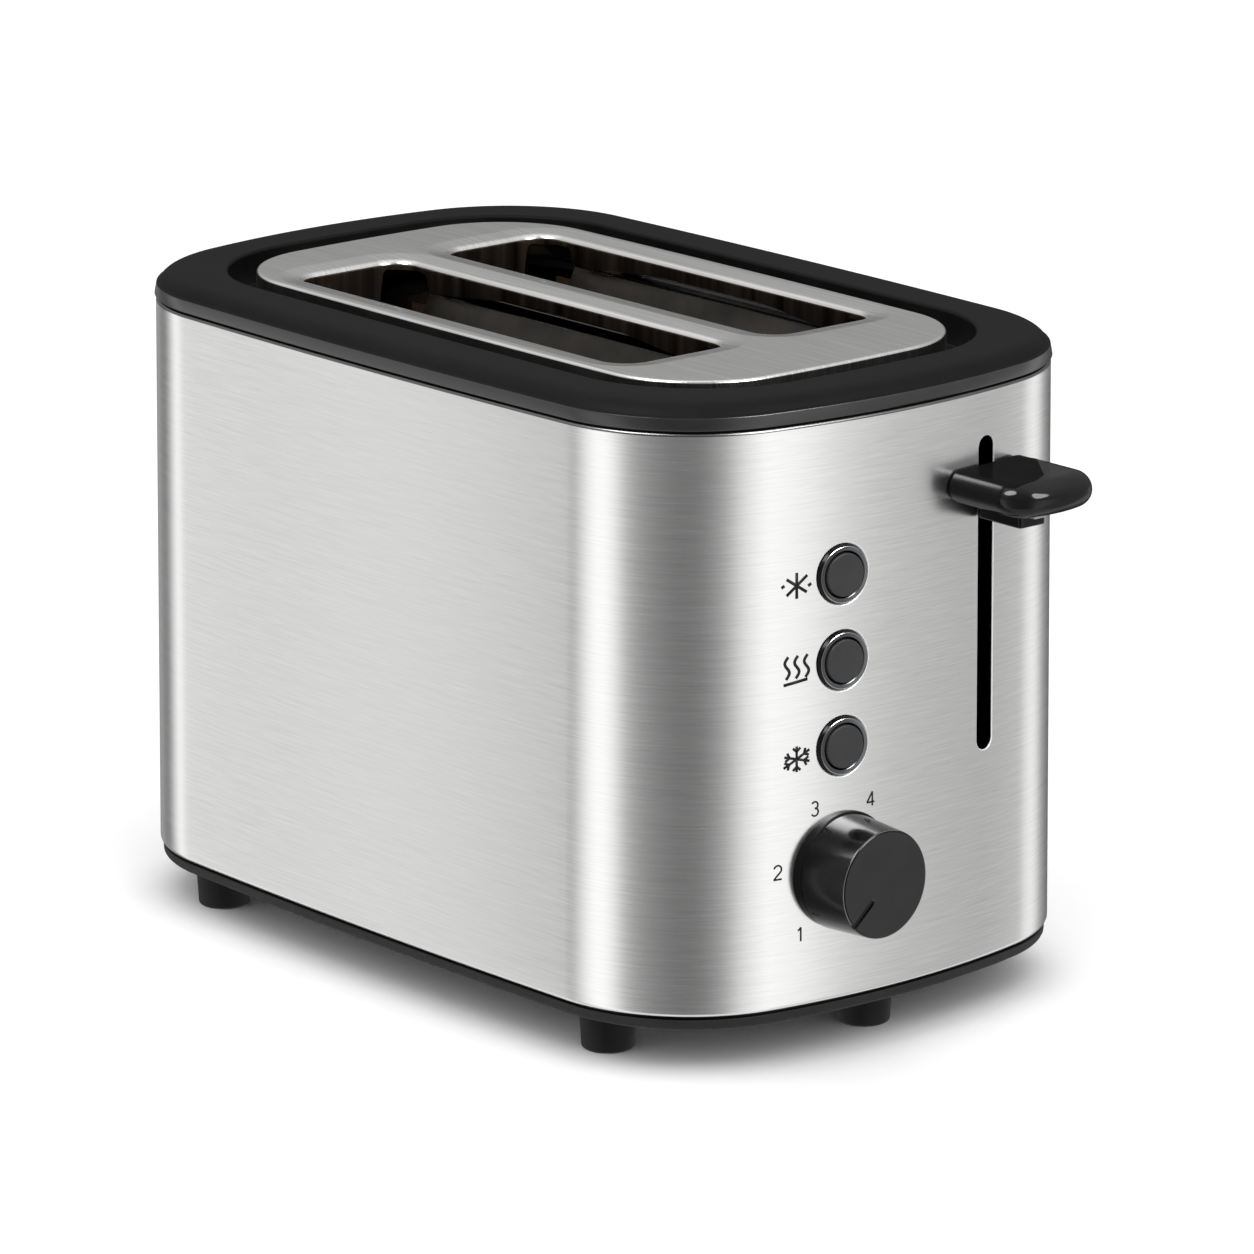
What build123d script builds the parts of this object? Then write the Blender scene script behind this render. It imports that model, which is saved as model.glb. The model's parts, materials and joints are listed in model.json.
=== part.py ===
from build123d import *
import os
from math import asin, cos, degrees, pi, sin, sqrt

os.makedirs("parts", exist_ok=True)

# Sizes in mm. The body is drawn about its own middle with the table at z = 0, long way along X, control
# end at +X; every piece is moved along X at the end so that the origin lies under the middle of the whole.

# Body
body_length = 265.0
body_width = 168.0
end_bow = 15.6
side_bow = 3.9
corner_radius = 46.0
foot_height = 12.0
base_band = 4.0
shell_height = 162.5
seam_gap = 0.6
ring_band = 3.8
ring_rise = 3.2

# Steel wrap
shell_wall = 0.8
shell_flange = 3.2
shell_edge_radius = 1.6

# Moulded ring and the steel plate inside it
ring_setback = 0.4
ring_draft = 0.5
ring_lip = 5.0
ring_wall = 2.0
ring_inner_edge = 1.4
ring_crest_inset = 4.5
ring_crest_drop = 0.4
groove_depth = 10.0
groove_floor = 2.0
ring_end_width = 18.8
ring_side_width = 18.8
hole_end_bow = 4.1
hole_side_bow = 0.8
hole_corner = 40.8
groove_end_width = 8.5
groove_side_width = 7.1
plate_end_bow = 3.3
plate_side_bow = 1.4
plate_corner = 32.3
plate_below_ring = 0.6
plate_sheet = 0.8
plate_edge_radius = 1.8

# Bread slots
slot_length = 146.0
slot_width = 39.6
slot_spacing = 55.0
slot_offset = -8.0
slot_corner = 8.0
slot_rim_radius = 1.8
slot_rim_depth = 6.0
slot_end_depth = 15.5
slot_end_width = 21.0

# Base and feet
base_setback = 1.2
base_floor = 2.5
base_edge_radius = 2.0
base_lip = 8.0
base_wall = 2.0
foot_top = 16.4
foot_bottom = 15.0
foot_edge = 1.2
foot_inset_x = 45.8
foot_inset_y = 15.0
end_foot_inset = 17.5
foot_bore = 7.4
foot_bore_depth = 7.0
boss_width = 9.0
boss_height = 8.0
screw_size = 3.0
screw_head = 6.0
screw_head_height = 2.0
screw_sink = 0.2

# Crumb tray
tray_side_gap = 2.0
tray_height = 7.6
tray_sheet = 0.8
tray_lift = 1.4
tray_front_gap = 4.0
rail_width = 4.0
pull_reach = 3.0
pull_lip = 5.0
grip_radius = 3.0
grip_length = 52.0

# Chassis
end_margin = 5.5
chassis_sheet = 1.0
chassis_edge = 2.6
chassis_clear = 2.0
chassis_top_gap = 2.5
post_width = 8.0
reflector_gap = 12.0
reflector_sheet = 0.6

# Heaters
heater_gap = 7.5
mica_sheet = 0.6
wire_size = 0.9
wire_turns = 11
tab_height = 9.0

# Bread guides
guide_setback = 0.3
guide_end_gap = 12.0
guide_sheet = 0.8
guide_axle = 2.4
guide_lift = 6.0
guide_lip_height = 6.0
guide_lip_flare = 3.0
guide_band = 9.0
guide_bar = 3.2
guide_columns = 10
guide_rows = 3

# Lever and carriage
lever_y = 30.0
lever_below_top = 28.5
lever_drop = 64.0
lever_lift = 8.0
lever_slot_width = 6.4
lever_slot_margin = 6.0
lever_arm_width = 4.0
lever_arm_height = 8.0
lever_reach = 28.0
handle_width = 32.0
handle_thick = 10.4
handle_drop = 6.6
handle_corner = 10.0
handle_round = 4.6
handle_front_bow = 3.5
handle_dish = 1.3
handle_dish_reach = 11.2
handle_dish_shift = 0.9
handle_boss_width = 10.0
handle_boss_depth = 17.5
handle_boss_drop = 5.2
carrier_low = 14.0
carrier_web = 10.0
carrier_sheet = 1.4
carrier_tooth = 17.0
carrier_teeth = 8
carriage_gap = 10.5
carriage_sheet = 1.6
carriage_bar = 12.0
rod_size = 6.0
rod_gap = 7.4
rod_y = 15.0
bush_width = 15.0
bush_height = 30.0
spring_y = -5.0
spring_size = 8.0
spring_wire = 1.0
spring_turns = 12
spring_sides = 14
bracket_sheet = 1.6

# Electromagnet
magnet_gap = 25.4
keeper_lift = 4.0
keeper_sheet = 2.0
magnet_leg = 4.0
magnet_span = 14.0
magnet_depth = 10.0
magnet_stand_height = 10.5
coil_wall = 2.4

# Controls
control_y = -23.5
button_above_knob = 35.3
button_pitch = 24.05
button_size = 12.2
button_travel = 1.5
button_proud = 0.5
ring_size = 16.6
ring_proud = 0.4
ring_depth = 6.0
ring_shoulder = 1.2
ring_shoulder_depth = 1.4
knob_above_base = 36.0
knob_size = 31.2
knob_front_size = 30.4
knob_reach = 16.7
knob_gap = 0.9
knob_edge = 1.0
knob_skirt = 1.6
knob_skirt_depth = 1.6
pointer_length = 11.0
pointer_width = 2.0
pointer_depth = 0.9
pointer_angle = 221.0
shaft_size = 6.0
shaft_hold = 10.0
timer_size = 16.0
timer_depth = 7.0
timer_nose = 3.5
board_depth = 20.5
board_sheet = 1.6
board_left = 26.5
board_right = 29.5
board_lift = 15.5
board_margin = 8.6
switch_size = 6.0
switch_depth = 3.5
plunger_size = 3.5
plunger_depth = 1.2

# Mains inlet
gland_inset_x = 29.5
gland_inset_y = 23.0
gland_bore = 7.4
gland_size = 11.0
gland_collar = 14.0
gland_depth = 10.0
block_length = 24.0
block_width = 12.0
block_height = 11.0

# Fits
slide_gap = 0.25
loose_gap = 0.5
screw_gap = 0.1

# Levels and places that follow from the sizes above
base_bottom = foot_height
floor_top = base_bottom + base_floor
shell_bottom = base_bottom + base_band
shell_top = shell_bottom + shell_height
ring_bottom = shell_top + seam_gap
ring_edge = ring_bottom + ring_band
ring_top = ring_edge + ring_rise
plate_top = ring_top - plate_below_ring
groove_level = ring_top - groove_depth
chassis_top = groove_level - groove_floor - chassis_top_gap
half_length = body_length / 2
half_width = body_width / 2
hole_length = body_length - 2 * ring_end_width
hole_width = body_width - 2 * ring_side_width
plate_length = hole_length - 2 * groove_end_width
plate_width = hole_width - 2 * groove_side_width
slot_y = slot_spacing / 2
slot_rear = slot_offset - slot_length / 2
slot_front = slot_offset + slot_length / 2
chassis_rear = slot_rear - end_margin
chassis_front = slot_front + end_margin
front_face = chassis_front + chassis_sheet
tray_bottom = shell_bottom + tray_lift
tray_top = tray_bottom + tray_height
chassis_bottom = tray_top + chassis_clear
guide_axle_z = chassis_bottom + guide_lift
heater_y = slot_y + slot_width / 2 + heater_gap
reflector_y = slot_y + slot_width / 2 + reflector_gap
chassis_half = reflector_y + reflector_sheet + chassis_edge
tray_width = 2 * (chassis_half - post_width - tray_side_gap)
flange_inset = shell_flange + slide_gap
carrier_height = chassis_bottom + carrier_low + lever_drop
carriage_x = front_face + carriage_gap
carriage_front = carriage_x + carriage_sheet
rod_x = carriage_front + rod_gap
lever_height = shell_top - lever_below_top
arm_bottom = lever_height - lever_arm_height / 2
arm_top = lever_height + lever_arm_height / 2
handle_base = arm_bottom + (lever_arm_height - handle_thick) / 2 + handle_drop / 2
keeper_bottom = carrier_height - carrier_web + carriage_bar + keeper_lift
magnet_top = keeper_bottom - lever_drop - loose_gap
magnet_x = carriage_front + magnet_gap
magnet_stand = floor_top + magnet_stand_height
knob_height = shell_bottom + knob_above_base
knob_front = half_length + knob_reach
button_top = knob_height + button_above_knob + 2 * button_pitch
board_x = half_length - board_depth
board_face = board_x + board_sheet
gland_x = gland_inset_x - half_length
gland_y = half_width - gland_inset_y
board_bottom = floor_top + board_lift
board_top = button_top + board_margin
board_near = control_y - board_left
board_far = control_y + board_right
origin_shift = (pull_reach - lever_reach) / 2


class Plan:
    """Outline of a bowed rectangle: four shallow arcs joined by four corner arcs, all tangent."""

    def __init__(self, length, width, bow_at_end, bow_at_side, corner):
        self.half_length = length / 2
        self.half_width = width / 2
        self.corner = corner
        self.end_radius = (self.half_width**2 + bow_at_end**2) / (2 * bow_at_end)
        self.side_radius = (self.half_length**2 + bow_at_side**2) / (2 * bow_at_side)
        self.end_centre = Vector(self.half_length - self.end_radius, 0)
        self.side_centre = Vector(0, self.half_width - self.side_radius)
        self.corner_centre = self.find_corner()

    def find_corner(self):
        """The corner disc touches both arcs: its middle lies one corner radius inside each."""
        from_end = self.end_radius - self.corner
        from_side = self.side_radius - self.corner
        line = self.side_centre - self.end_centre
        gap = line.length
        along = (gap**2 + from_end**2 - from_side**2) / (2 * gap)
        across = sqrt(from_end**2 - along**2)
        unit = line.normalized()
        return self.end_centre + unit * along + Vector(-unit.Y, unit.X) * across

    def face(self, inset=0.0):
        """The outline drawn in by inset; the arcs keep their middles."""
        radius = self.corner - inset
        to_end = (self.corner_centre - self.end_centre).normalized()
        to_side = (self.corner_centre - self.side_centre).normalized()
        at_end = self.corner_centre + to_end * radius
        at_side = self.corner_centre + to_side * radius
        between = self.corner_centre + (to_end + to_side).normalized() * radius
        end = self.half_length - inset
        side = self.half_width - inset

        def spot(point, sign_x, sign_y):
            return (point.X * sign_x, point.Y * sign_y)

        arcs = [
            ThreePointArc(spot(at_end, 1, -1), (end, 0), spot(at_end, 1, 1)),
            ThreePointArc(spot(at_end, 1, 1), spot(between, 1, 1), spot(at_side, 1, 1)),
            ThreePointArc(spot(at_side, 1, 1), (0, side), spot(at_side, -1, 1)),
            ThreePointArc(spot(at_side, -1, 1), spot(between, -1, 1), spot(at_end, -1, 1)),
            ThreePointArc(spot(at_end, -1, 1), (-end, 0), spot(at_end, -1, -1)),
            ThreePointArc(spot(at_end, -1, -1), spot(between, -1, -1), spot(at_side, -1, -1)),
            ThreePointArc(spot(at_side, -1, -1), (0, -side), spot(at_side, 1, -1)),
            ThreePointArc(spot(at_side, 1, -1), spot(between, 1, -1), spot(at_end, 1, -1)),
        ]
        return Face(Wire(arcs))

    def end_x(self, y, inset=0.0):
        """How far along X the end arc stands at this y."""
        return self.end_centre.X + sqrt((self.end_radius - inset) ** 2 - y**2)


body_plan = Plan(body_length, body_width, end_bow, side_bow, corner_radius)
hole_plan = Plan(hole_length, hole_width, hole_end_bow, hole_side_bow, hole_corner)
plate_plan = Plan(plate_length, plate_width, plate_end_bow, plate_side_bow, plate_corner)


def prism(plan, inset, low, high):
    return extrude(Pos(0, 0, low) * plan.face(inset), amount=high - low, dir=(0, 0, 1))


def block(x0, x1, y0, y1, z0, z1):
    middle = Pos((x0 + x1) / 2, (y0 + y1) / 2, (z0 + z1) / 2)
    return middle * Box(abs(x1 - x0), abs(y1 - y0), abs(z1 - z0))


def rod_x_way(size, x0, x1, y, z):
    return Pos((x0 + x1) / 2, y, z) * Rot(0, 90, 0) * Cylinder(size / 2, abs(x1 - x0))


def rod_z_way(size, x, y, z0, z1):
    return Pos(x, y, (z0 + z1) / 2) * Cylinder(size / 2, abs(z1 - z0))


def slot_prism(slot_middle_y, grow, low, high):
    shape = RectangleRounded(slot_length + 2 * grow, slot_width + 2 * grow, slot_corner + grow)
    return extrude(Pos(slot_offset, slot_middle_y, low) * shape, amount=high - low, dir=(0, 0, 1))


def top_edges(shape):
    return shape.faces().sort_by(Axis.Z)[-1].edges()


def bottom_edges(shape):
    return shape.faces().sort_by(Axis.Z)[0].edges()


def panel_place(y, z):
    """Place on the outer skin of the control end, its Z way standing straight out of the skin."""
    angle = degrees(asin(y / body_plan.end_radius))
    return Pos(body_plan.end_x(y), y, z) * Rot(0, 0, angle) * Rot(0, 90, 0)


def button_place(index):
    return panel_place(control_y, button_top - index * button_pitch)


def post_places():
    return [
        (front_face + post_width / 2, chassis_half - post_width / 2),
        (front_face + post_width / 2, post_width / 2 - chassis_half),
        (chassis_rear - chassis_sheet - post_width / 2, chassis_half - post_width / 2),
        (chassis_rear - chassis_sheet - post_width / 2, post_width / 2 - chassis_half),
    ]


def foot_places():
    return {
        "foot_front_left": (half_length - foot_inset_x, foot_inset_y - half_width),
        "foot_front_right": (half_length - foot_inset_x, half_width - foot_inset_y),
        "foot_rear_left": (foot_inset_x - half_length, foot_inset_y - half_width),
        "foot_rear_right": (foot_inset_x - half_length, half_width - foot_inset_y),
        "foot_control_end": (half_length - end_foot_inset, 0.0),
    }


def tray_mouth(grow):
    """Room the crumb tray needs at the rear end, through wrap and base."""
    half = tray_width / 2 + grow
    rear = -half_length - pull_reach - 10
    return block(rear, chassis_rear, -half, half, tray_bottom - grow, tray_top + grow)


def make_outer_shell():
    skin = prism(body_plan, 0, shell_bottom, shell_top)
    skin = fillet(top_edges(skin) + bottom_edges(skin), shell_edge_radius)
    core = prism(body_plan, shell_wall, shell_bottom + shell_wall, shell_top - shell_wall)
    core = fillet(top_edges(core) + bottom_edges(core), shell_edge_radius - shell_wall)
    shell = skin - core - prism(body_plan, shell_flange, shell_bottom - 1, shell_top + 1)
    slot_low = arm_bottom - lever_drop - lever_slot_margin
    slot_high = arm_top + lever_lift + lever_slot_width / 2
    slot_shape = SlotOverall(slot_high - slot_low, lever_slot_width, rotation=90)
    slot_middle = Pos(lever_y, (slot_low + slot_high) / 2)
    slot_start = Plane.YZ.offset(board_face)
    shell -= extrude(slot_start * slot_middle * slot_shape, amount=half_length - board_face + 10)
    for index in range(3):
        shell -= button_place(index) * Cylinder(ring_size / 2 + slide_gap / 2, 20)
    shell -= rod_x_way(shaft_size + 2, board_face, half_length + 10, control_y, knob_height)
    return shell - tray_mouth(loose_gap)


def make_top_ring():
    low = Pos(0, 0, ring_bottom) * body_plan.face(ring_setback)
    edge = Pos(0, 0, ring_edge) * body_plan.face(ring_setback + ring_draft)
    crest = Pos(0, 0, ring_top - ring_crest_drop) * body_plan.face(ring_crest_inset)
    crown = Pos(0, 0, ring_top) * hole_plan.face(0)
    ring = loft([low, edge], ruled=True) + loft([edge, crest], ruled=True)
    ring += loft([crest, crown], ruled=True)
    ring += prism(body_plan, shell_edge_radius, shell_top, ring_bottom)
    ring += prism(body_plan, flange_inset, shell_top - ring_lip, shell_top)
    hollow = prism(body_plan, flange_inset + ring_wall, shell_top - ring_lip - 1, ring_bottom)
    ring -= hollow - prism(hole_plan, -ring_wall, 0, ring_top)
    ring += prism(hole_plan, -ring_wall, groove_level - groove_floor, ring_bottom)
    ring -= prism(hole_plan, 0, groove_level, ring_top + 1)
    half = slot_y + slot_width / 2 + heater_gap - guide_lip_flare / 2
    room = block(chassis_rear, chassis_front, -half, half, 0, ring_top)
    ring -= room
    inner = ring.edges().filter_by_position(Axis.Z, ring_top - 0.05, ring_top + 0.05)
    return fillet(inner, ring_inner_edge)


def make_top_plate():
    plate = prism(plate_plan, 0, groove_level, plate_top)
    plate = fillet(top_edges(plate), plate_edge_radius)
    rim_low = plate_top - slot_rim_depth
    core = prism(plate_plan, plate_sheet, groove_level, plate_top - plate_sheet)
    core = fillet(top_edges(core), plate_edge_radius - plate_sheet)
    for sign in (-1, 1):
        opening = slot_prism(sign * slot_y, 0, groove_level - 1, plate_top + 1)
        plate -= opening
        core -= slot_prism(sign * slot_y, plate_sheet, rim_low, plate_top)
    rims = [e for e in plate.edges() if e.bounding_box().min.Z > plate_top - 0.05]
    rims = [e for e in rims if abs(e.center().X - slot_offset) < slot_length / 2 + 1]
    rims = [e for e in rims if abs(e.center().Y) < slot_y + slot_width / 2 + 1]
    plate = fillet(rims, slot_rim_radius)
    inner = [e for e in core.edges() if e.bounding_box().min.Z > plate_top - plate_sheet - 0.05]
    inner = [e for e in inner if abs(e.center().X - slot_offset) < slot_length / 2 + 2]
    inner = [e for e in inner if abs(e.center().Y) < slot_y + slot_width / 2 + 2]
    core = fillet(inner, slot_rim_radius - plate_sheet)
    plate -= core
    half = slot_end_width / 2
    low = plate_top - slot_end_depth
    for y in (-slot_y, slot_y):
        plate += block(slot_rear - plate_sheet, slot_rear, y - half, y + half, low, rim_low)
        plate += block(slot_front, slot_front + plate_sheet, y - half, y + half, low, rim_low)
    return plate


def make_base_pan():
    pan = prism(body_plan, base_setback, base_bottom, shell_bottom)
    pan = fillet(bottom_edges(pan), base_edge_radius)
    lip_top = shell_bottom + base_lip
    pan += prism(body_plan, flange_inset, shell_bottom, lip_top)
    pan -= prism(body_plan, flange_inset + base_wall, floor_top, lip_top + 1)
    below = block(-body_length, body_length, -body_width, body_width, 0, shell_bottom)
    pan -= tray_mouth(2 * loose_gap) - below
    rail_y = tray_width / 2 - 3 * rail_width
    for sign in (-1, 1):
        y0 = sign * rail_y
        y1 = y0 + sign * rail_width
        pan += block(-half_length + 12, front_face, y0, y1, floor_top, tray_bottom - screw_gap)
    for x, y in post_places():
        half = post_width / 2
        pan += block(x - half, x + half, y - half, y + half, floor_top, chassis_bottom)
        pan -= rod_z_way(screw_size + 2 * screw_gap, x, y, 0, chassis_bottom + 1)
        pan -= rod_z_way(screw_head + 4 * screw_gap, x, y, 0, base_bottom + screw_sink + screw_head_height)
    for x, y in foot_places().values():
        pan += rod_z_way(boss_width, x, y, floor_top, floor_top + boss_height)
        pan -= rod_z_way(screw_size + 2 * screw_gap, x, y, 0, floor_top + boss_height - 1)
    rest = block(board_x - 3, board_face + 3, board_near + 8, board_far - 15, floor_top, board_bottom + 4)
    rear = board_x - screw_gap
    front = board_face + screw_gap
    pan += rest - block(rear, front, board_near, board_far, board_bottom, board_top)
    return pan - rod_z_way(gland_size + 2 * screw_gap, gland_x, gland_y, 0, floor_top + 1)


def make_foot(x, y):
    foot = Pos(x, y, foot_height / 2) * Cone(foot_bottom / 2, foot_top / 2, foot_height)
    foot = fillet(bottom_edges(foot), foot_edge)
    foot -= rod_z_way(foot_bore, x, y, -1, foot_bore_depth)
    return foot - rod_z_way(screw_size + 4 * screw_gap, x, y, 0, foot_height + 1)


def make_screw(x, y, head_bottom, tip):
    head = rod_z_way(screw_head, x, y, head_bottom, head_bottom + screw_head_height)
    return head + rod_z_way(screw_size, x, y, head_bottom, tip)


def tray_rear():
    return 2 - body_plan.end_x(tray_width / 2)


def make_crumb_tray():
    half = tray_width / 2
    rear = tray_rear()
    front = front_face - tray_front_gap
    tray = block(rear, front, -half, half, tray_bottom, tray_top)
    edges = tray.edges().filter_by(Axis.Z)
    tray = fillet(edges.group_by(Axis.X)[-1], 4)
    inner = half - tray_sheet
    room = block(rear - 1, front - tray_sheet, -inner, inner, tray_bottom + tray_sheet, tray_top + 1)
    edges = room.edges().filter_by(Axis.Z)
    room = fillet(edges.group_by(Axis.X)[-1], 4 - tray_sheet)
    return tray - room


def make_crumb_tray_pull():
    """Bowed moulded front that stands in the mouth of the tray and out of the wrap."""
    half = tray_width / 2
    front = prism(body_plan, -pull_reach, tray_bottom, tray_top)
    front -= prism(body_plan, pull_lip, 0, shell_top)
    front &= block(-body_length, tray_rear(), -half, half, tray_bottom, tray_top)
    back = block(-half_length + pull_lip - 2, tray_rear(), -half, half, tray_bottom, tray_top)
    inside = prism(body_plan, pull_lip - 0.5, 0, shell_top)
    front += back & inside
    outer = prism(body_plan, 1 - pull_reach, 0, shell_top)
    finger = Rot(90, 0, 0) * Cylinder(grip_radius, grip_length)
    grip = Pos(-half_length - pull_reach, 0, tray_bottom) * finger
    return front - (grip - outer)


def make_chassis_plate(inner_face, outer_face):
    x0, x1 = sorted((inner_face, outer_face))
    plate = block(x0, x1, -chassis_half, chassis_half, chassis_bottom, chassis_top)
    reach = carrier_sheet / 2 + loose_gap
    low = carrier_height - carrier_web - lever_drop - 2 * loose_gap
    high = carrier_height + lever_lift + 2 * loose_gap
    for sign in (-1, 1):
        y = sign * slot_y
        plate -= block(x0 - 1, x1 + 1, y - reach, y + reach, low, high)
    for y in guide_places():
        plate -= rod_x_way(guide_axle + 2 * slide_gap, x0 - 1, x1 + 1, y, guide_axle_z)
    half = mica_sheet / 2 + screw_gap
    for y in heater_places():
        for z in heater_tabs():
            plate -= block(x0 - 1, x1 + 1, y - half, y + half, z - screw_gap, z + tab_height + screw_gap)
    outward = 1 if outer_face > inner_face else -1
    for x, y in post_places():
        if x * outward > 0:
            half = post_width / 2
            tab_end = x + outward * half
            plate += block(outer_face, tab_end, y - half, y + half, chassis_bottom, chassis_bottom + 1.2)
            plate -= rod_z_way(screw_size + 2 * screw_gap, x, y, chassis_bottom - 1, chassis_bottom + 2)
    return plate


def make_reflector(sign):
    y = sign * reflector_y
    sheet = block(chassis_rear, chassis_front, y, y + sign * reflector_sheet, chassis_bottom, chassis_top)
    vents = GridLocations(18, 30, 7, 3)
    middle = (chassis_rear + chassis_front) / 2
    for spot in vents:
        place = Pos(middle + spot.position.X, y, (chassis_bottom + chassis_top) / 2 + spot.position.Y)
        sheet -= place * Rot(90, 0, 0) * Cylinder(1.6, 6)
    return sheet


def heater_places():
    return (-heater_y, 0.0, heater_y)


def heater_tabs():
    return (guide_axle_z + 6, chassis_top - 4 - tab_height)


def make_heater_board(y):
    half = mica_sheet / 2
    low, high = heater_tabs()
    board = block(chassis_rear + 4, chassis_front - 4, y - half, y + half, low - 3, high + tab_height + 3)
    for z in (low, high):
        board += block(chassis_rear - 2, chassis_front + 2, y - half, y + half, z, z + tab_height)
    return board


def make_heater_wire(y):
    """One wire wound round the board between its tabs, level on one face and climbing on the other."""
    low, high = heater_tabs()
    start = low + tab_height + 3
    pitch = (high - 3 - start) / wire_turns
    off = mica_sheet / 2 + wire_size / 2 + 0.05
    rear = chassis_rear + 4 - off
    front = chassis_front - 4 + off
    points = [(rear, y + off, start)]
    for turn in range(wire_turns):
        z = start + turn * pitch
        points.append((front, y + off, z))
        points.append((front, y - off, z + pitch * 0.1))
        points.append((rear, y - off, z + pitch * 0.9))
        if turn < wire_turns - 1:
            points.append((rear, y + off, z + pitch))
    path = Polyline(*points)
    section = Plane(origin=points[0], z_dir=(1, 0, 0)) * Circle(wire_size / 2)
    return sweep(section, path=path, transition=Transition.RIGHT)


def guide_faces():
    """Inner face and outward way of each bread guide, from the -Y side to the +Y side."""
    reach = slot_width / 2 + guide_setback
    return [
        (-slot_y - reach, -1),
        (-slot_y + reach, 1),
        (slot_y - reach, -1),
        (slot_y + reach, 1),
    ]


def guide_places():
    return [y + way * guide_sheet / 2 for y, way in guide_faces()]


def make_bread_guide(y, way):
    x0 = slot_rear + guide_end_gap
    x1 = slot_front - guide_end_gap
    high = groove_level - guide_lip_height
    outer = y + way * guide_sheet
    flare = way * guide_lip_flare
    profile = Polyline(
        (x0, y, guide_axle_z),
        (x0, y, high),
        (x0, y + flare, high + guide_lip_height),
        (x0, outer + flare, high + guide_lip_height),
        (x0, outer, high),
        (x0, outer, guide_axle_z),
        close=True,
    )
    sheet = extrude(Face(Wire(profile.edges())), amount=x1 - x0, dir=(1, 0, 0))
    column = (x1 - x0 - guide_bar) / guide_columns
    low = guide_axle_z + guide_band
    row = (high - guide_band - low + guide_bar) / guide_rows
    window = RectangleRounded(column - guide_bar, row - guide_bar, 1.5)
    windows = Sketch() + [spot * window for spot in GridLocations(column, row, guide_columns, guide_rows)]
    middle = Vector((x0 + x1) / 2, y - way * 3, (low + high - guide_band) / 2)
    sheet -= extrude(Plane(origin=middle, x_dir=(1, 0, 0), z_dir=(0, way, 0)) * windows, amount=8)
    reach = chassis_sheet + 3
    middle_y = y + way * guide_sheet / 2
    return sheet + rod_x_way(guide_axle, chassis_rear - reach, chassis_front + reach, middle_y, guide_axle_z)


def make_carrier(sign):
    y = sign * slot_y
    half = carrier_sheet / 2
    low = carrier_height - carrier_web
    tail = chassis_rear - chassis_sheet - 3
    web = block(tail, carriage_x, y - half, y + half, low, carrier_height)
    pitch = (slot_length - 16) / (carrier_teeth - 1)
    wing = carrier_tooth / 2
    for index in range(carrier_teeth):
        x = slot_rear + 8 + index * pitch
        web += block(x - 2.2, x + 2.2, y - wing, y + wing, carrier_height - 1.2, carrier_height)
        web -= block(x + 3.5, x + pitch - 3.5, y - 2, y + 2, low + 2.5, carrier_height - 2.5)
    foot = block(carriage_x - carrier_sheet, carriage_x, y - 5, y + 5, low, carrier_height)
    return web + foot


def make_carriage_plate():
    low = carrier_height - carrier_web
    left = -slot_y - 6
    right = max(slot_y, lever_y) + 6
    plate = block(carriage_x, carriage_front, left, right, low, low + carriage_bar)
    stem_left = rod_y - bush_width / 2
    plate += block(carriage_x, carriage_front, stem_left, right, low, arm_top + 3)
    hook = block(carriage_front, rod_x + spring_size, spring_y - 6, spring_y + 6, low, low + carriage_sheet)
    return plate + hook


def make_carriage_bush():
    low = carrier_height - carrier_web + 4
    half = bush_width / 2
    bush = block(carriage_front, rod_x + half, rod_y - half, rod_y + half, low, low + bush_height)
    bush = fillet(bush.edges().filter_by(Axis.Z).group_by(Axis.X)[-1], 3)
    return bush - rod_z_way(rod_size + 2 * slide_gap, rod_x, rod_y, low - 1, low + bush_height + 1)


def make_lever_arm():
    half = lever_arm_width / 2
    tip = half_length + lever_reach - 9
    return block(carriage_front, tip, lever_y - half, lever_y + half, arm_bottom, arm_top)


def make_lever_handle():
    """Paddle with a bowed front, a shallow dish on top and a short boss under it round the arm."""
    half = handle_width / 2
    front = half_length + lever_reach
    rear = body_plan.end_x(lever_y + half) - 8
    bow = handle_front_bow
    top = handle_base + handle_thick
    outline = [
        Line((rear, lever_y - half), (front - bow, lever_y - half)),
        ThreePointArc((front - bow, lever_y - half), (front, lever_y), (front - bow, lever_y + half)),
        Line((front - bow, lever_y + half), (rear, lever_y + half)),
        Line((rear, lever_y + half), (rear, lever_y - half)),
    ]
    paddle = extrude(Pos(0, 0, handle_base) * Face(Wire(outline)), amount=handle_thick, dir=(0, 0, 1))
    paddle = fillet(paddle.edges().filter_by(Axis.Z).group_by(Axis.X)[-1], handle_corner)
    paddle = fillet(top_edges(paddle) + bottom_edges(paddle), handle_round)
    boss_half = handle_boss_width / 2
    boss_front = body_plan.end_x(lever_y) + handle_boss_depth
    boss_low = handle_base - handle_boss_drop
    boss = block(rear, boss_front, lever_y - boss_half, lever_y + boss_half, boss_low, top - handle_round)
    boss = fillet(boss.edges().filter_by(Axis.Z).group_by(Axis.X)[-1], 3)
    boss = fillet(bottom_edges(boss), 1.2)
    paddle += boss
    reach = handle_dish_reach
    ball = (reach**2 + handle_dish**2) / (2 * handle_dish)
    dish_x = front - handle_round - reach + handle_dish_shift
    paddle -= Pos(dish_x, lever_y, top - handle_dish + ball) * Sphere(ball)
    paddle -= prism(body_plan, -2 * loose_gap, 0, top + 20)
    gap = screw_gap / 2
    grow = lever_arm_width / 2 + gap
    tip = half_length + lever_reach - 9 + gap
    return paddle - block(rear - 1, tip, lever_y - grow, lever_y + grow, arm_bottom - gap, arm_top + gap)


def make_guide_rod():
    return rod_z_way(rod_size, rod_x, rod_y, chassis_bottom - 2, chassis_top)


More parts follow.
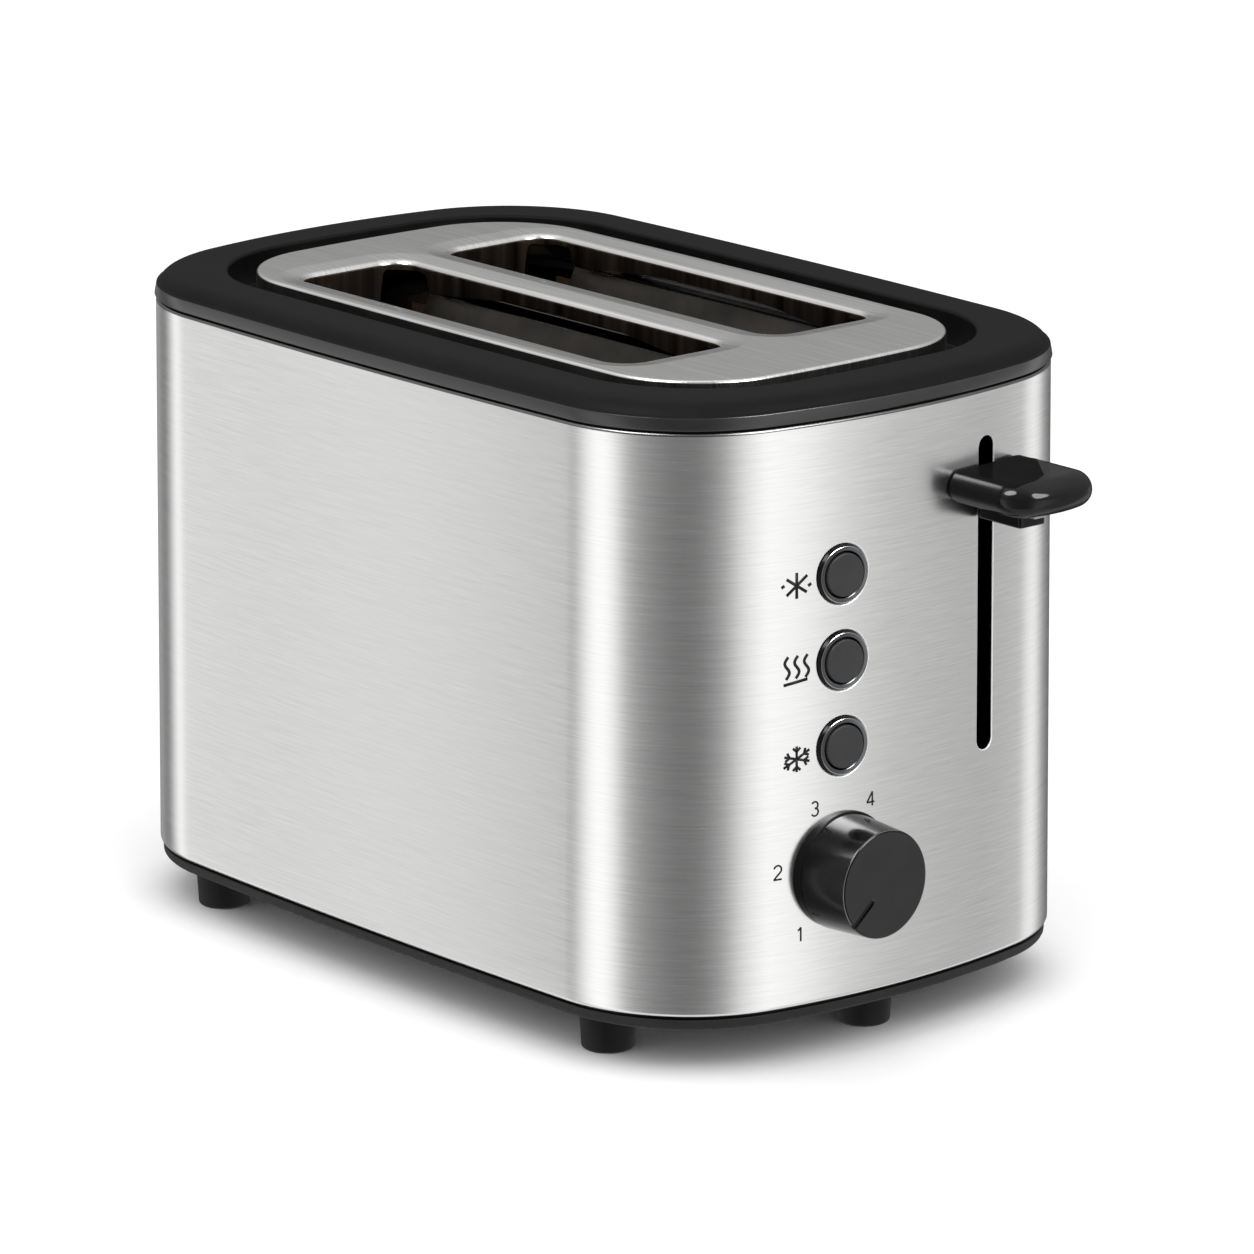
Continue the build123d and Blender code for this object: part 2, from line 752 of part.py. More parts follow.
def make_rod_bracket(low, left):
    """Flat shelf from the chassis plate that holds one end of the guide rod."""
    shelf = block(front_face, rod_x + rod_size, left, rod_y + rod_size, low, low + bracket_sheet)
    tab_low = low + bracket_sheet if low < lever_height / 2 else low - 8
    shelf += block(front_face, front_face + bracket_sheet, rod_y - 2, rod_y + 5, tab_low, tab_low + 8)
    return shelf - rod_z_way(rod_size + 2 * screw_gap, rod_x, rod_y, low - 1, low + bracket_sheet + 1)


def make_carriage_spring():
    """Coil of short straight lengths, climbing evenly from the carriage hook to the upper bracket."""
    low = carrier_height - carrier_web + carriage_sheet + spring_wire / 2 + screw_gap
    high = chassis_top - bracket_sheet - spring_wire / 2 - screw_gap
    radius = (spring_size - spring_wire) / 2
    steps = spring_turns * spring_sides
    points = []
    for index in range(steps + 1):
        angle = 2 * pi * index / spring_sides
        z = low + (high - low) * index / steps
        points.append((rod_x + radius * cos(angle), spring_y + radius * sin(angle), z))
    way = Vector(*points[1]) - Vector(*points[0])
    section = Plane(origin=points[0], z_dir=way) * Circle(spring_wire / 2)
    return sweep(section, path=Polyline(*points), transition=Transition.RIGHT)


def make_keeper_plate():
    half = magnet_depth / 2
    reach = magnet_x + magnet_span / 2
    top = keeper_bottom + keeper_sheet
    return block(carriage_front, reach, lever_y - half, lever_y + half, keeper_bottom, top)


def make_magnet_core():
    x0 = magnet_x - magnet_span / 2
    x1 = magnet_x + magnet_span / 2
    y0 = lever_y - magnet_depth / 2
    y1 = lever_y + magnet_depth / 2
    core = block(x0, x1, y0, y1, magnet_stand, magnet_top)
    yoke = magnet_stand + magnet_leg
    return core - block(x0 + magnet_leg, x1 - magnet_leg, y0 - 1, y1 + 1, yoke, magnet_top + 1)


def make_magnet_coil():
    x0 = magnet_x - magnet_span / 2
    low = magnet_stand + magnet_leg + loose_gap
    high = magnet_top - 2
    y0 = lever_y - magnet_depth / 2
    y1 = lever_y + magnet_depth / 2
    gap = screw_gap
    coil = block(x0 - coil_wall, x0 + magnet_leg + coil_wall, y0 - coil_wall, y1 + coil_wall, low, high)
    coil = fillet(coil.edges().filter_by(Axis.Z), 1.5)
    return coil - block(x0 - gap, x0 + magnet_leg + gap, y0 - gap, y1 + gap, low - 1, high + 1)


def make_magnet_bracket():
    x0 = magnet_x - magnet_span / 2 - 3
    x1 = magnet_x + magnet_span / 2 + 3
    y0 = lever_y - magnet_depth / 2 - 2
    y1 = lever_y + magnet_depth / 2 + 2
    stand = block(x0, x1, y0, y1, floor_top, magnet_stand)
    under = magnet_stand - bracket_sheet
    return stand - block(x0 + bracket_sheet, x1 - bracket_sheet, y0 - 1, y1 + 1, 0, under)


def make_light_ring(index):
    """Smoked ring round a button: it fills the hole in the wrap and has a shoulder behind the skin."""
    bore = button_size / 2 + slide_gap
    ring = Pos(0, 0, ring_proud - ring_depth / 2) * Cylinder(ring_size / 2, ring_depth)
    ring = fillet(top_edges(ring), 0.3)
    behind = -shell_wall - loose_gap
    shoulder = Cylinder(ring_size / 2 + ring_shoulder, ring_shoulder_depth)
    ring += Pos(0, 0, behind - ring_shoulder_depth / 2) * shoulder
    ring -= Cylinder(bore, 4 * ring_depth)
    return button_place(index) * ring


def make_button(index):
    """Cap that slides in the light ring, with a wider foot behind it and a stem towards its switch."""
    depth = ring_depth + 0.9
    cap = Pos(0, 0, button_proud - depth / 2) * Cylinder(button_size / 2, depth)
    cap = fillet(top_edges(cap), 0.6)
    foot_top_z = ring_proud - ring_depth - 0.2
    cap += Pos(0, 0, foot_top_z - 0.6) * Cylinder(button_size / 2 + 1, 1.2)
    switch_front = board_face + switch_depth + plunger_depth
    reach = body_plan.end_x(control_y) - switch_front - button_travel - 0.4
    cap += Pos(0, 0, -reach / 2) * Cylinder(plunger_size / 2, reach)
    return button_place(index) * cap


def make_switches():
    switches = []
    for index in range(3):
        z = button_top - index * button_pitch
        slant = body_plan.end_x(control_y) - board_face - switch_depth
        y = control_y - slant * control_y / body_plan.end_radius
        half = switch_size / 2
        body = block(board_face, board_face + switch_depth, y - half, y + half, z - half, z + half)
        reach = board_face + switch_depth + plunger_depth
        switches.append(body + rod_x_way(plunger_size, board_face + switch_depth, reach, y, z))
    return switches


def make_control_board():
    return block(board_x, board_face, board_near, board_far, board_bottom, board_top)


def make_board_posts():
    posts = []
    for z in (board_bottom + 18, board_top - 6):
        posts.append(rod_x_way(6, front_face, board_x, board_near + 4, z))
    return posts


def make_timer_body():
    body = rod_x_way(timer_size, board_face, board_face + timer_depth, control_y, knob_height)
    nose = board_face + timer_depth + timer_nose
    body += rod_x_way(shaft_size + 2, board_face, nose, control_y, knob_height)
    return body - rod_x_way(shaft_size + 2 * slide_gap, board_face + 2, half_length, control_y, knob_height)


def knob_rear():
    return body_plan.end_x(control_y + knob_size / 2 + knob_skirt / 2) + knob_gap


def make_timer_shaft():
    start = board_face + 2 + slide_gap
    return rod_x_way(shaft_size, start, knob_rear() + shaft_hold, control_y, knob_height)


def make_control_knob():
    """Turned about X: a narrow skirt, a slightly tapered side and a flat front with a pointer groove."""
    rear = knob_rear()
    depth = knob_front - rear
    side = Cone(knob_size / 2, knob_front_size / 2, depth)
    side = fillet(top_edges(side), knob_edge)
    flare = Cylinder((knob_size + knob_skirt) / 2, knob_skirt_depth)
    skirt = Pos(0, 0, (knob_skirt_depth - depth) / 2) * flare
    skirt = fillet(top_edges(skirt), 0.5)
    knob = side + skirt
    knob -= Pos(0, 0, shaft_hold / 2 - depth / 2) * Cylinder(shaft_size / 2 + screw_gap / 2, shaft_hold + 0.2)
    groove_length = pointer_length
    bar = Box(groove_length, pointer_width, 2 * pointer_depth)
    groove = Pos(knob_front_size / 2 - groove_length / 2 + 1, 0, depth / 2) * bar
    knob -= Rot(0, 0, 90 + pointer_angle) * groove
    return Pos((rear + knob_front) / 2, control_y, knob_height) * Rot(0, 90, 0) * knob


def make_cord_gland():
    low = base_bottom - 1.6
    gland = rod_z_way(gland_size, gland_x, gland_y, base_bottom, floor_top + gland_depth - base_floor)
    gland += rod_z_way(gland_collar, gland_x, gland_y, low, base_bottom)
    gland += rod_z_way(gland_collar, gland_x, gland_y, floor_top, floor_top + 1.6)
    return gland - rod_z_way(gland_bore, gland_x, gland_y, 0, shell_top)


def make_terminal_block():
    x0 = foot_inset_x - half_length + foot_top / 2 + 2
    y0 = chassis_half + loose_gap
    body = block(x0, x0 + block_length, y0, y0 + block_width, floor_top, floor_top + block_height)
    for index in range(3):
        x = x0 + block_length * (index + 0.5) / 3
        body -= rod_z_way(4, x, y0 + block_width / 2, floor_top + 4, floor_top + block_height + 1)
    return body


pieces = {
    "outer_shell": make_outer_shell(),
    "top_ring": make_top_ring(),
    "top_plate": make_top_plate(),
    "base_pan": make_base_pan(),
    "foot_screws": [
        make_screw(x, y, foot_bore_depth - screw_head_height, floor_top + boss_height - 2)
        for x, y in foot_places().values()
    ],
    "base_screws": [make_screw(x, y, base_bottom + screw_sink, chassis_bottom + 3) for x, y in post_places()],
    "crumb_tray": make_crumb_tray(),
    "crumb_tray_pull": make_crumb_tray_pull(),
    "front_plate": make_chassis_plate(chassis_front, front_face),
    "rear_plate": make_chassis_plate(chassis_rear, chassis_rear - chassis_sheet),
    "reflector_left": make_reflector(-1),
    "reflector_right": make_reflector(1),
    "carrier_left": make_carrier(-1),
    "carrier_right": make_carrier(1),
    "carriage_plate": make_carriage_plate(),
    "carriage_bush": make_carriage_bush(),
    "lever_arm": make_lever_arm(),
    "lever_handle": make_lever_handle(),
    "keeper_plate": make_keeper_plate(),
    "guide_rod": make_guide_rod(),
    "rod_bracket_top": make_rod_bracket(chassis_top - bracket_sheet, spring_y - spring_size),
    "rod_bracket_bottom": make_rod_bracket(chassis_bottom, rod_y - rod_size),
    "carriage_spring": make_carriage_spring(),
    "magnet_core": make_magnet_core(),
    "magnet_coil": make_magnet_coil(),
    "magnet_bracket": make_magnet_bracket(),
    "control_board": make_control_board(),
    "board_posts": make_board_posts(),
    "switches": make_switches(),
    "timer_body": make_timer_body(),
    "timer_shaft": make_timer_shaft(),
    "control_knob": make_control_knob(),
    "cord_gland": make_cord_gland(),
    "terminal_block": make_terminal_block(),
}

for name, place in foot_places().items():
    pieces[name] = make_foot(*place)

for side, y in zip(("left", "centre", "right"), heater_places()):
    pieces["heater_board_" + side] = make_heater_board(y)
    pieces["heater_wire_" + side] = make_heater_wire(y)

for side, face in zip(("left_outer", "left_inner", "right_inner", "right_outer"), guide_faces()):
    pieces["bread_guide_" + side] = make_bread_guide(*face)

for index, use in enumerate(("cancel", "reheat", "defrost")):
    pieces["light_ring_" + use] = make_light_ring(index)
    pieces["button_" + use] = make_button(index)

for name, piece in pieces.items():
    solids = piece if isinstance(piece, list) else [piece]
    shape = Compound(children=[Pos(origin_shift, 0, 0) * Solid(s.solid().wrapped) for s in solids])
    export_step(shape if len(solids) > 1 else shape.solid(), "parts/" + name + ".step")
    print(name, len(shape.solids()), [round(v, 2) for v in shape.bounding_box().size])
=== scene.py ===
import bpy
import json
import numpy as np
from math import asin, atan2, cos, hypot, pi, radians, sin, sqrt
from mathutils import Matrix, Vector, geometry


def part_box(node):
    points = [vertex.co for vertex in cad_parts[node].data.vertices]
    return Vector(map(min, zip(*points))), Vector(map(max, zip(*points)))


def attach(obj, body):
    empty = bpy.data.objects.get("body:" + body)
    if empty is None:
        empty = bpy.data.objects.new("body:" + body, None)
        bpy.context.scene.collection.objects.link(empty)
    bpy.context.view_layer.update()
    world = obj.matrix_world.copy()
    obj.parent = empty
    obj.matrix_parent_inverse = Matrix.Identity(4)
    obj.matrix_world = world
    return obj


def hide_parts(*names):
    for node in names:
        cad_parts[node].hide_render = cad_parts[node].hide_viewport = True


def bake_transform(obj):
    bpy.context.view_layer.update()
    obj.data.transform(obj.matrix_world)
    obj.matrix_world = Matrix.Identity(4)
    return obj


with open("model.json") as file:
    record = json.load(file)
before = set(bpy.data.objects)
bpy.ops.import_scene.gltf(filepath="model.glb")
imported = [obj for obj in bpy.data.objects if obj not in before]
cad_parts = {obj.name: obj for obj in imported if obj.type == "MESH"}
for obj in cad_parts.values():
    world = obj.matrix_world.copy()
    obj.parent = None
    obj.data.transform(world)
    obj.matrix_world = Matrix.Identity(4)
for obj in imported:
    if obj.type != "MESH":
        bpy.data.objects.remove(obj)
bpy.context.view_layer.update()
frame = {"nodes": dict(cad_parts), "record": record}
nodes = frame["nodes"]
scene = bpy.context.scene
mm = 0.001
shellLow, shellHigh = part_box("outer_shell")
bodyX = (shellLow.x + shellHigh.x) / 2 / mm  # the body's own middle along X, in mm
print("frame loaded:", len(nodes), "nodes, body middle at x =", round(bodyX, 2))

# Outlines seen from above, and the lean of the steel. All pieces are worked out in mm from the body's middle.
outlines = {"body": {"length": 265.0, "width": 168.0, "endBow": 15.6, "sideBow": 3.9, "corner": 46.0},
            "hole": {"length": 227.4, "width": 130.4, "endBow": 4.1, "sideBow": 0.8, "corner": 40.8},
            "plate": {"length": 210.0, "width": 114.4, "endBow": 3.3, "sideBow": 1.4, "corner": 31.6}}
outlineSteps = {"end": 48, "corner": 44, "side": 40}
lean = {"middle": 97.0, "perHeight": 0.0085}
alongX = ((0, 1, 0), (0, 0, 1), (1, 0, 0))  # across, up and along for a prism that runs in X
alongZ = ((1, 0, 0), (0, 1, 0), (0, 0, 1))


# Columns of a table; a single number fills its whole column.
def columns(*values):
    return np.column_stack(np.broadcast_arrays(*values))


# Closed outline of four shallow arcs and four corner arcs, all tangent: the corner disc's middle is one corner
# radius inside both big arcs. The second half is the first half turned half round.
def bowedPlan(length, width, endBow, sideBow, corner):
    a, b = length / 2, width / 2
    endRadius = (b * b + endBow * endBow) / (2 * endBow)
    sideRadius = (a * a + sideBow * sideBow) / (2 * sideBow)
    endMiddle, sideMiddle = a - endRadius, b - sideRadius
    fromEnd, fromSide = endRadius - corner, sideRadius - corner
    gap = hypot(endMiddle, sideMiddle)
    along = (gap * gap + fromEnd * fromEnd - fromSide * fromSide) / (2 * gap)
    across = sqrt(fromEnd * fromEnd - along * along)
    ux, uy = -endMiddle / gap, sideMiddle / gap
    cx, cy = endMiddle + ux * along - uy * across, uy * along + ux * across
    atEnd, atSide = atan2(cy, cx - endMiddle), atan2(cy - sideMiddle, cx)
    half = [(endMiddle, 0, endRadius, -atEnd, atEnd, outlineSteps["end"]),
            (cx, cy, corner, atEnd, atSide, outlineSteps["corner"]),
            (0, sideMiddle, sideRadius, atSide, pi - atSide, outlineSteps["side"]),
            (-cx, cy, corner, pi - atSide, pi - atEnd, outlineSteps["corner"])]
    other = [(-x, -y, r, start + pi, stop + pi, steps) for x, y, r, start, stop, steps in half]
    return {"arcs": half + other, "endMiddle": endMiddle, "endRadius": endRadius}


# One loop round an outline; an inset only shortens every radius.
def planLoop(plan, inset, z):
    parts = []
    for x, y, radius, start, stop, steps in plan["arcs"]:
        t = np.linspace(start, stop, steps, endpoint=False)
        parts.append(columns(x + (radius - inset) * np.cos(t), y + (radius - inset) * np.sin(t), z))
    return np.concatenate(parts)


bodyPlan, holePlan, platePlan = (bowedPlan(**outlines[name]) for name in ("body", "hole", "plate"))


# The wrap leans: its outline lies a little outside the middle size near the base and inside it near the top.
def leanAt(z):
    return lean["perHeight"] * (lean["middle"] - np.asarray(z, float))


# Place of the bowed control end along X, by place across it and height.
def endX(y, z):
    return bodyPlan["endMiddle"] + np.sqrt((bodyPlan["endRadius"] + leanAt(z)) ** 2 - np.square(y))


# Arc of points in a plane, from one angle to another, in degrees.
def arcRun(middle, radius, start, stop, steps=18):
    t = np.radians(np.linspace(start, stop, steps))
    return columns(middle[0] + radius * np.cos(t), middle[1] + radius * np.sin(t))


# Points and arcs joined to one line of points.
def profileOf(*runs):
    return np.concatenate([np.atleast_2d(np.asarray(r, float)) for r in runs])


# Quads between neighbouring loops; rows run along the profile, columns round the outline.
def loopFaces(rows, cols, closeRows, first=0):
    r = np.arange(rows if closeRows else rows - 1)[:, None]
    c = np.arange(cols)[None, :]
    n, d = (r + 1) % rows, (c + 1) % cols
    return first + np.stack([r * cols + c, r * cols + d, n * cols + d, n * cols + c], -1).reshape(-1, 4)


# The same with a flat face on the first and the last loop.
def cappedFaces(rows, cols):
    last = rows * cols
    return loopFaces(rows, cols, False).tolist() + [list(range(cols))[::-1], list(range(last - cols, last))]


def fanFaces(ring, pole, flip):
    nxt = np.roll(ring, -1)
    mid = np.full(len(ring), pole)
    return np.stack([nxt, ring, mid] if flip else [ring, nxt, mid], 1)


def smoothShade(mesh, sharp):
    mesh.polygons.foreach_set("use_smooth", np.ones(len(mesh.polygons), bool))
    mesh.set_sharp_from_angle(angle=radians(sharp))


def makeMesh(name, points, faces, sharp=35):
    mesh = bpy.data.meshes.new(name)
    mesh.from_pydata((np.asarray(points) * mm).tolist(), [], [list(f) for f in faces])
    mesh.validate()
    smoothShade(mesh, sharp)
    return mesh


def newObject(name, data):
    obj = bpy.data.objects.new(name, data)
    scene.collection.objects.link(obj)
    return obj


def addPiece(name, mesh, material, body, slotName, *replaced):
    obj = newObject(name, mesh)
    mesh.materials.clear()
    mesh.materials.append(material)
    if replaced:
        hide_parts(*replaced)
    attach(obj, body)
    return obj


def shifted(points):
    return np.asarray(points) + np.array([bodyX, 0, 0])


# A closed section carried round an outline, given as one loop for each of its points.
def stackLoops(name, loops, sharp=35):
    loops = np.asarray(loops)
    return makeMesh(name, shifted(loops.reshape(-1, 3)), loopFaces(*loops.shape[:2], True), sharp)


# Turned form: each (radius, height) of the profile becomes a circle about the axis; a radius of 0 at an
# end becomes one pole, and a profile that comes back to its start makes a closed ring.
def turnedShape(profile, origin, axis, steps=96):
    axis = np.asarray(axis, float) / np.linalg.norm(axis)
    helper = np.array([0, 0, 1.0]) if abs(axis[2]) < 0.9 else np.array([1.0, 0, 0])
    e1 = np.cross(helper, axis)
    e1 = e1 / np.linalg.norm(e1)
    e2 = np.cross(axis, e1)
    profile = np.asarray(profile, float)
    closed = profile[0, 0] > 0 and np.allclose(profile[0], profile[-1])
    rows = profile[:-1] if closed else profile[profile[:, 0] > 0]
    t = np.linspace(0, 2 * pi, steps, endpoint=False)
    circle = np.cos(t)[:, None] * e1 + np.sin(t)[:, None] * e2
    points = np.asarray(origin) + rows[:, 0, None, None] * circle + rows[:, 1, None, None] * axis
    points = points.reshape(-1, 3)
    faces = loopFaces(len(rows), steps, closed).tolist()
    if not closed:
        low = np.asarray(origin) + profile[0, 1] * axis
        high = np.asarray(origin) + profile[-1, 1] * axis
        last = np.arange(steps) + (len(rows) - 1) * steps
        faces += fanFaces(np.arange(steps), len(points), True).tolist()
        faces += fanFaces(last, len(points) + 1, False).tolist()
        points = np.concatenate([points, [low, high]])
    return points, faces


def rodShape(radius, low, high, origin, axis, steps):
    return turnedShape([(0, low), (radius, low), (radius, high), (0, high)], origin, axis, steps)


# Straight prism: an outline of (u, v) carried from one depth to another along the axis.
def prismShape(outline, origin, u, v, axis, low, high):
    outline = np.asarray(outline, float)
    flat = np.asarray(origin) + outline[:, :1] * np.asarray(u) + outline[:, 1:] * np.asarray(v)
    loops = np.stack([flat + low * np.asarray(axis), flat + high * np.asarray(axis)])
    return loops.reshape(-1, 3), cappedFaces(2, len(outline))


def roundedBox(width, height, radius, steps):
    parts = []
    for sx, sy, start in ((1, 1, 0), (-1, 1, 90), (-1, -1, 180), (1, -1, 270)):
        middle = (sx * (width / 2 - radius), sy * (height / 2 - radius))
        parts.append(arcRun(middle, radius, start, start + 90, steps))
    return np.concatenate(parts)


# Cuts closed shapes out of a mesh and gives the new mesh.
def cutAway(name, mesh, cutters, sharp=35):
    obj = newObject(name, mesh)
    used = [obj]
    for points, faces in cutters:
        used.append(newObject(name + "Cutter", makeMesh(name + "Cutter", points, faces)))
        cut = obj.modifiers.new("cut", "BOOLEAN")
        cut.operation, cut.solver, cut.object = "DIFFERENCE", "EXACT", used[-1]
    graph = bpy.context.evaluated_depsgraph_get()
    result = bpy.data.meshes.new_from_object(obj.evaluated_get(graph))
    for old in used:
        bpy.data.objects.remove(old)
    smoothShade(result, sharp)
    return result


# Gives the faces chosen by each test on their middles (mm) and normals another material.
def markFaces(mesh, *marks):
    count = len(mesh.polygons)
    middles, normals, index = np.zeros(count * 3), np.zeros(count * 3), np.zeros(count, np.int32)
    mesh.polygons.foreach_get("center", middles)
    mesh.polygons.foreach_get("normal", normals)
    for material, test in marks:
        mesh.materials.append(material)
        index[test(middles.reshape(-1, 3) / mm, normals.reshape(-1, 3))] = len(mesh.materials) - 1
    mesh.polygons.foreach_set("material_index", index)


# How far a face looks away from the body's middle: positive outwards, negative into the groove.
def looksOut(c, n):
    return (c[:, 0] - bodyX) * n[:, 0] + c[:, 1] * n[:, 1]


def newMaterial(name, **fixed):
    material = bpy.data.materials.new(name)
    material.use_nodes = True
    tree = material.node_tree
    shader = tree.nodes["Principled BSDF"]
    for socket, value in fixed.items():
        shader.inputs[socket.replace("_", " ")].default_value = value
    return material, tree, shader


def newGroup(name, inputs, outputs):
    group = bpy.data.node_groups.new(name, "ShaderNodeTree")
    for label, kind, value in inputs:
        socket = group.interface.new_socket(label, in_out="INPUT", socket_type=kind)
        socket.default_value = value
    for label in outputs:
        group.interface.new_socket(label, in_out="OUTPUT", socket_type="NodeSocketFloat")
    return group, group.nodes.new("NodeGroupInput"), group.nodes.new("NodeGroupOutput")


def addNode(tree, kind, links=(), values=None, **settings):
    node = tree.nodes.new(kind)
    for key, value in settings.items():
        setattr(node, key, value)
    for socket, value in (values or {}).items():
        node.inputs[socket].default_value = value
    for source, socket in links:
        tree.links.new(source, node.inputs[socket])
    return node


# Long fine scratches: noise squeezed across the brushing and stretched along it, at two widths.
def brushGroup(wideShare=0.42):
    group, inside, outside = newGroup("brushLines", [("Stretch", "NodeSocketVector", (30, 30, 3000))],
                                      ["Height", "Tone"])
    coords = addNode(group, "ShaderNodeTexCoord")
    fine = addNode(group, "ShaderNodeVectorMath",
                   [(coords.outputs["Object"], 0), (inside.outputs["Stretch"], 1)], operation="MULTIPLY")
    wide = addNode(group, "ShaderNodeVectorMath", [(fine.outputs[0], 0)], {"Scale": wideShare}, operation="SCALE")
    fineNoise = addNode(group, "ShaderNodeTexNoise", [(fine.outputs[0], "Vector")],
                        {"Scale": 1.0, "Detail": 3.0, "Roughness": 0.6})
    wideNoise = addNode(group, "ShaderNodeTexNoise", [(wide.outputs[0], "Vector")],
                        {"Scale": 1.0, "Detail": 2.0, "Roughness": 0.5})
    both = addNode(group, "ShaderNodeMath", [(fineNoise.outputs["Fac"], 0), (wideNoise.outputs["Fac"], 1)],
                   operation="ADD")
    half = addNode(group, "ShaderNodeMath", [(both.outputs[0], 0)], {1: 0.5}, operation="MULTIPLY")
    group.links.new(fineNoise.outputs["Fac"], outside.inputs["Height"])
    group.links.new(half.outputs[0], outside.inputs["Tone"])
    return group


# Moulded or rolled grain: small round noise, with a slow patchy tone on top.
def grainGroup():
    group, inside, outside = newGroup(
        "surfaceGrain", [("Size", "NodeSocketFloat", 2500.0), ("Patch", "NodeSocketFloat", 40.0)], ["Height", "Tone"])
    coords = addNode(group, "ShaderNodeTexCoord")
    for size, detail, rough, result in (("Size", 2.0, 0.55, "Height"), ("Patch", 4.0, 0.6, "Tone")):
        noise = addNode(group, "ShaderNodeTexNoise",
                        [(coords.outputs["Object"], "Vector"), (inside.outputs[size], "Scale")],
                        {"Detail": detail, "Roughness": rough})
        group.links.new(noise.outputs["Fac"], outside.inputs[result])
    return group


brushLines = brushGroup()
surfaceGrain = grainGroup()
bumpDepth = {"brush": 0.00003, "grain": 0.00004}  # metres


def toRange(tree, source, low, high, start=0.25, stop=0.75):
    values = {"From Min": start, "From Max": stop, "To Min": low, "To Max": high}
    return addNode(tree, "ShaderNodeMapRange", [(source, "Value")], values).outputs[0]


def mixTone(tree, source, dark, light):
    ramp = addNode(tree, "ShaderNodeValToRGB", [(source, "Fac")])
    for stop, position, tone in zip(ramp.color_ramp.elements, (0.3, 0.7), (dark, light)):
        stop.position, stop.color = position, (*tone, 1)
    return ramp.outputs["Color"]


def addBump(tree, shader, height, strength, distance):
    bump = addNode(tree, "ShaderNodeBump", [(height, "Height")], {"Strength": strength, "Distance": distance})
    tree.links.new(bump.outputs["Normal"], shader.inputs["Normal"])


# A pattern's tone gives colour and roughness, its height gives bump; everything constant sits on the shader.
def patternFinish(name, group, sizes, dark, light, rough, bump, depth, gloss=0.5, metal=0.0):
    material, tree, shader = newMaterial(name, Specular_IOR_Level=gloss, Metallic=metal)
    pattern = addNode(tree, "ShaderNodeGroup", (), sizes, node_tree=group)
    tree.links.new(mixTone(tree, pattern.outputs["Tone"], dark, light), shader.inputs["Base Color"])
    tree.links.new(toRange(tree, pattern.outputs["Tone"], *rough), shader.inputs["Roughness"])
    addBump(tree, shader, pattern.outputs["Height"], bump, depth)
    return material


def brushedMetal(name, stretch, dark, light, rough, bump):
    sizes = {"Stretch": stretch}
    return patternFinish(name, brushLines, sizes, dark, light, rough, bump, bumpDepth["brush"], metal=1.0)


def grainedSurface(name, size, patch, dark, light, rough, bump, **fixed):
    sizes = {"Size": size, "Patch": patch}
    return patternFinish(name, surfaceGrain, sizes, dark, light, rough, bump, bumpDepth["grain"], **fixed)


# Finishes by slot: brush stretch or grain and patch sizes, dark and light tone, roughness from and to, bump.
finishes = {
    "steel_wrap": brushedMetal(
        "wrapSteel", (120, 120, 5200), (0.65, 0.65, 0.645), (0.75, 0.75, 0.745), (0.22, 0.28), 0.15),
    "steel_plate": brushedMetal(
        "plateSteel", (45, 3200, 45), (0.48, 0.476, 0.468), (0.66, 0.655, 0.645), (0.17, 0.25), 0.16),
    "black_moulding": grainedSurface(
        "rimBlack", 1500, 60, (0.0085, 0.0085, 0.0088), (0.011, 0.011, 0.0113), (0.52, 0.60), 0.45, gloss=0.03),
    "gloss_black": grainedSurface(
        "glossBlack", 700, 50, (0.002, 0.002, 0.0025), (0.004, 0.004, 0.0045), (0.10, 0.17), 0.04, gloss=0.24),
    "button_grey": grainedSurface(
        "buttonGrey", 1900, 90, (0.027, 0.027, 0.029), (0.033, 0.033, 0.035), (0.44, 0.54), 0.3, gloss=0.25),
    "smoked_ring": grainedSurface(
        "smokedRing", 300, 80, (0.003, 0.003, 0.0035), (0.005, 0.005, 0.0055), (0.16, 0.24), 0.03, gloss=0.12),
    "foot_rubber": grainedSurface(
        "footRubber", 1300, 120, (0.003, 0.003, 0.003), (0.005, 0.005, 0.005), (0.55, 0.70), 0.5, gloss=0.2),
    "sheet_steel": grainedSurface(
        "sheetSteel", 400, 90, (0.44, 0.43, 0.42), (0.50, 0.49, 0.475), (0.36, 0.42), 0.15, metal=1.0),
    "guide_steel": grainedSurface(
        "guideSteel", 500, 55, (0.022, 0.020, 0.018), (0.042, 0.038, 0.034), (0.30, 0.44), 0.15, metal=1.0),
    "mica": grainedSurface(
        "micaBoard", 260, 45, (0.07, 0.042, 0.024), (0.14, 0.09, 0.052), (0.22, 0.40), 0.35),
    "heater_alloy": grainedSurface(
        "heaterAlloy", 600, 140, (0.12, 0.10, 0.09), (0.20, 0.17, 0.15), (0.34, 0.48), 0.1, metal=1.0),
    "rod_steel": grainedSurface(
        "groundRod", 900, 80, (0.60, 0.60, 0.61), (0.68, 0.68, 0.69), (0.12, 0.22), 0.05, metal=1.0),
    "spring_steel": grainedSurface(
        "springWire", 900, 160, (0.45, 0.45, 0.46), (0.56, 0.56, 0.57), (0.22, 0.34), 0.08, metal=1.0),
    "coil_copper": grainedSurface(
        "coilCopper", 1600, 160, (0.40, 0.16, 0.07), (0.52, 0.23, 0.11), (0.28, 0.42), 0.4, metal=1.0),
    "board_green": grainedSurface(
        "boardGreen", 500, 200, (0.015, 0.085, 0.035), (0.022, 0.115, 0.048), (0.28, 0.42), 0.15),
    "white_plastic": grainedSurface(
        "whitePlastic", 1100, 90, (0.58, 0.57, 0.54), (0.66, 0.65, 0.62), (0.40, 0.52), 0.25),
    "screw_steel": grainedSurface(
        "screwZinc", 900, 200, (0.44, 0.44, 0.43), (0.56, 0.56, 0.54), (0.26, 0.40), 0.15, metal=1.0),
}
